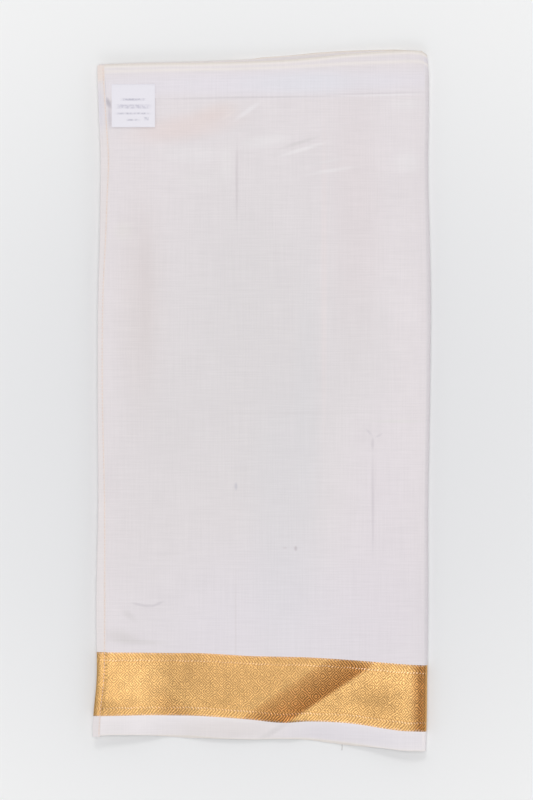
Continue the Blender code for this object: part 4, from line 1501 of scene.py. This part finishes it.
right, down = np.meshgrid(
    np.linspace(0, LABEL_WIDTH, LABEL_CELLS + 1), np.linspace(0, LABEL_HEIGHT, LABEL_CELLS + 1)
)
x, y = LABEL_LEFT + right, LABEL_TOP - down
curl = CURL_RIGHT * (right / LABEL_WIDTH) ** CURL_SHAPE
curl = curl + CURL_FOOT * (down / LABEL_HEIGHT) ** CURL_SHAPE
z = stack_height(x, y) + uneven(x, y) + BAND_RISE + LABEL_CLEAR + LABEL_THICK + curl
face = np.stack([x, y, z], axis=-1)
lining = face - np.array([0.0, 0.0, LABEL_THICK])
up = unit(face[0] - face[1])
profile = round_profile(LABEL_THICK, 3)
over = rim_points(lining[0], face[0], up, profile)
foot = rim_points(face[-1], lining[-1], -up, profile)
rings = go_round(face, lining, foot, over)
label_tape = build_shell(
    "label_tape",
    rings,
    [np.broadcast_to(right[:1], rings.shape[:2]), rings[..., 1] - (LABEL_TOP - LABEL_HEIGHT)],
    ring_caps(len(face), len(foot), len(over)),
    [label_satin],
)

# %% [markdown]
# ## A loose end of thread
#
# One end of yarn has worked loose at the foot. It leaves the selvedge, droops to the
# floor and shows for 8 mm. It could be a curve with a bevel. A ring of points carried
# along a short path is as simple, and the function that we have closes its ends as well.
# Its silk is greyer than the cloth's.

# %% The loose thread
LOOSE_THICK, LOOSE_STEPS, LOOSE_SIDES = 0.42, 10, 8
LOOSE_X, LOOSE_END, LOOSE_HIGH = 73.4, -323.6, 1.6  # mm, where it starts, ends and hangs
LOOSE_SWAY, LOOSE_TURN = 0.5, 2.6  # mm, and radians of a sine from end to end

loose_silk = make_silk("loose silk yarn", "#ABA6A4", "#ABA6A4", "#A29C98", (), 0.02)
share = np.linspace(0.0, 1.0, LOOSE_STEPS)
x = LOOSE_X + LOOSE_SWAY * np.sin(LOOSE_TURN * share)
y = mix(float(edge("front_foot", LOOSE_X)) + 1.0, LOOSE_END, share)
z = mix(LOOSE_HIGH, LOOSE_THICK / 2, ease(0.0, 0.45, share))
turns = 2 * math.pi * np.arange(LOOSE_SIDES)[:, None] / LOOSE_SIDES
x = x + LOOSE_THICK / 2 * np.cos(turns)
z = z + LOOSE_THICK / 2 * np.sin(turns)
rings = np.stack([x, np.broadcast_to(y, x.shape), z], axis=-1)
loose_thread = build_shell(
    "loose_thread", rings, [x, rings[..., 1]], [tuple(range(LOOSE_SIDES))], [loose_silk]
)

# %% [markdown]
# ## What carries each piece
#
# The cloth has no joints, so everything rides on the one body. Each dressed piece
# stands for its plain solid, which is hidden, and the name of its slot is listed beside it.

# %% Rides, hidden solids and the slots' names
BODY = "root"
for piece, nodes, slot in (
    (silk_ground, ["outer_turn_silk"], "ivory_silk"),
    (zari_border, ["outer_turn_border"], "gold_zari"),
    (selvedge_strip, ["outer_turn_selvedge"], "selvedge_silk"),
    (folded_panels, ["inner_layers"], "folded_silk"),
    (hem_pieces["hem_silk"], ["end_hem_silk"], "ivory_silk"),
    (hem_pieces["hem_border"], ["end_hem_border"], "gold_zari"),
    (hem_pieces["hem_selvedge"], ["end_hem_selvedge"], "selvedge_silk"),
    (hem_stitches, [], "ivory_silk"),
    (loose_thread, [], "selvedge_silk"),
    (label_tape, ["label"], "label_satin"),
):
    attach(piece, BODY)
    if nodes:
        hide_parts(*nodes)

# %% [markdown]
# ## The board
#
# The cloth lies on a matt white painted board, large enough for low views too. Plain
# white would do, but the light falls off towards the middle, so the board is painted a
# little greyer there. A soft Map Range on the distance from one point gives that painted shade.

# %% The board that the cloth lies on
BOARD = 14.0  # m
BOARD_LOW = 0.0001  # m, below the cloth, so that the two never flicker into each other
FALLOFF_CENTRE = -0.03  # m, a little below the cloth's middle
FALLOFF_FROM, FALLOFF_TO = 0.13, 0.56  # m from there: painted shade inside, whiter outside

white_board, tree, shader = new_material("matt white painted board")
coordinates = add_node(tree, "ShaderNodeTexCoord")
from_middle = add_node(
    tree,
    "ShaderNodeVectorMath",
    {0: coordinates.outputs["Object"], 1: (0.0, FALLOFF_CENTRE, 0.0)},
    operation="DISTANCE",
)
painted_falloff = add_node(
    tree,
    "ShaderNodeMapRange",
    {"Value": from_middle.outputs["Value"], 1: FALLOFF_FROM, 2: FALLOFF_TO},
    interpolation_type="SMOOTHSTEP",
)
board_colour = add_node(
    tree,
    "ShaderNodeMix",
    {"Factor": painted_falloff.outputs[0], 6: linear("#EBEBEC"), 7: linear("#FDFDFC")},
    data_type="RGBA",
).outputs[2]
set_sockets(
    tree, shader, {"Base Color": board_colour, "Roughness": 0.85, "Specular IOR Level": 0.2}
)
board_mesh = bpy.data.meshes.new("board")
half = BOARD / 2
corners = [(-half, -half, 0.0), (half, -half, 0.0), (half, half, 0.0), (-half, half, 0.0)]
board_mesh.from_pydata(corners, [], [(0, 1, 2, 3)])
board_mesh.materials.append(white_board)
board = bpy.data.objects.new("board", board_mesh)
board.location.z = -BOARD_LOW
bpy.context.scene.collection.objects.link(board)
print("The board is", BOARD, "m wide")

# %% [markdown]
# ## The light
#
# One broad panel overhead gives most of the light. Two weak softboxes, far away beyond
# the long fold and beyond the foot, graze the cloth and bring out its creases. The studio
# round them is bright at its walls and dim at its ceiling. So gold that lies level mirrors
# the panel, and gold that tips away mirrors the dim ceiling beside it and turns brown. An
# evenly white world would be simpler, but it would flatten both the gold and the silk's
# low relief.

# %% The lamps
Sun = namedtuple("Sun", "name from_upright turn soft strength")
SUNS = (
    Sun("softbox by the long fold", 54.0, 6.0, 13.0, 0.44),
    Sun("softbox by the foot", 58.0, 176.0, 24.0, 0.20),
)
for sun in SUNS:
    lamp = bpy.data.lights.new(sun.name, "SUN")
    lamp.angle = math.radians(sun.soft)
    lamp.energy = sun.strength
    light = bpy.data.objects.new(sun.name, lamp)
    turn, tilt = math.radians(sun.turn), math.radians(sun.from_upright)
    flat = math.sin(tilt)
    toward = Vector((-math.sin(turn) * flat, math.cos(turn) * flat, math.cos(tilt)))
    light.rotation_euler = toward.to_track_quat("Z", "Y").to_euler()
    bpy.context.scene.collection.objects.link(light)

PANEL_PLACE, PANEL_ACROSS, PANEL_ALONG, PANEL_WATTS = (-0.05, 0.05, 3.2), 2.2, 2.0, 51.2
lamp = bpy.data.lights.new("soft panel overhead", "AREA")
lamp.shape = "RECTANGLE"
lamp.size, lamp.size_y = PANEL_ACROSS, PANEL_ALONG
lamp.energy = PANEL_WATTS
light = bpy.data.objects.new("soft panel overhead", lamp)
light.location = PANEL_PLACE
bpy.context.scene.collection.objects.link(light)
print(len(SUNS) + 1, "lamps")

# %% The studio round them
WALLS, CEILING = 0.86, 0.10  # how bright it is near the horizon and overhead
WALLS_END, CEILING_STARTS = 0.35, 0.85  # as the upward part of the direction
world = bpy.data.worlds.new("pale studio")
world.use_nodes = True
tree = world.node_tree
direction = add_node(tree, "ShaderNodeTexCoord")
parts = add_node(tree, "ShaderNodeSeparateXYZ", {0: direction.outputs["Generated"]})
bright = add_node(
    tree,
    "ShaderNodeMapRange",
    {"Value": parts.outputs[2], 1: WALLS_END, 2: CEILING_STARTS, 3: WALLS, 4: CEILING},
    interpolation_type="SMOOTHSTEP",
)
backdrop = {"Color": (0.97, 0.98, 1.0, 1.0), "Strength": bright.outputs["Result"]}
set_sockets(tree, tree.nodes["Background"], backdrop)
bpy.context.scene.world = world
bpy.context.scene.view_settings.view_transform = "Standard"
print(f"The walls are {WALLS / CEILING:.1f} times as bright as the ceiling")

# %% [markdown]
# ## The camera
#
# It looks straight down from 2.4 m. A near camera would see the stack's sides and draw
# what stands high too large, so it hangs far off, with a long lens to match. The lens is
# worked out from how much of the cloth's plane the picture holds.

# %% The camera
CAMERA_RIGHT, CAMERA_HIGH = 0.0041, 2.4  # m
PICTURE_TALL = 0.736  # m of the cloth's plane from the picture's foot to its top
CLOTH_LEVEL, SENSOR = 0.009, 36.0  # m, and mm
camera_data = bpy.data.cameras.new("camera")
camera_data.sensor_width = SENSOR
camera_data.lens = SENSOR * CAMERA_HIGH / PICTURE_TALL
camera = bpy.data.objects.new("camera", camera_data)
camera.location = (CAMERA_RIGHT, 0.0, CAMERA_HIGH + CLOTH_LEVEL)
bpy.context.scene.collection.objects.link(camera)
bpy.context.scene.camera = camera
print(f"The lens is {camera_data.lens:.0f} mm")
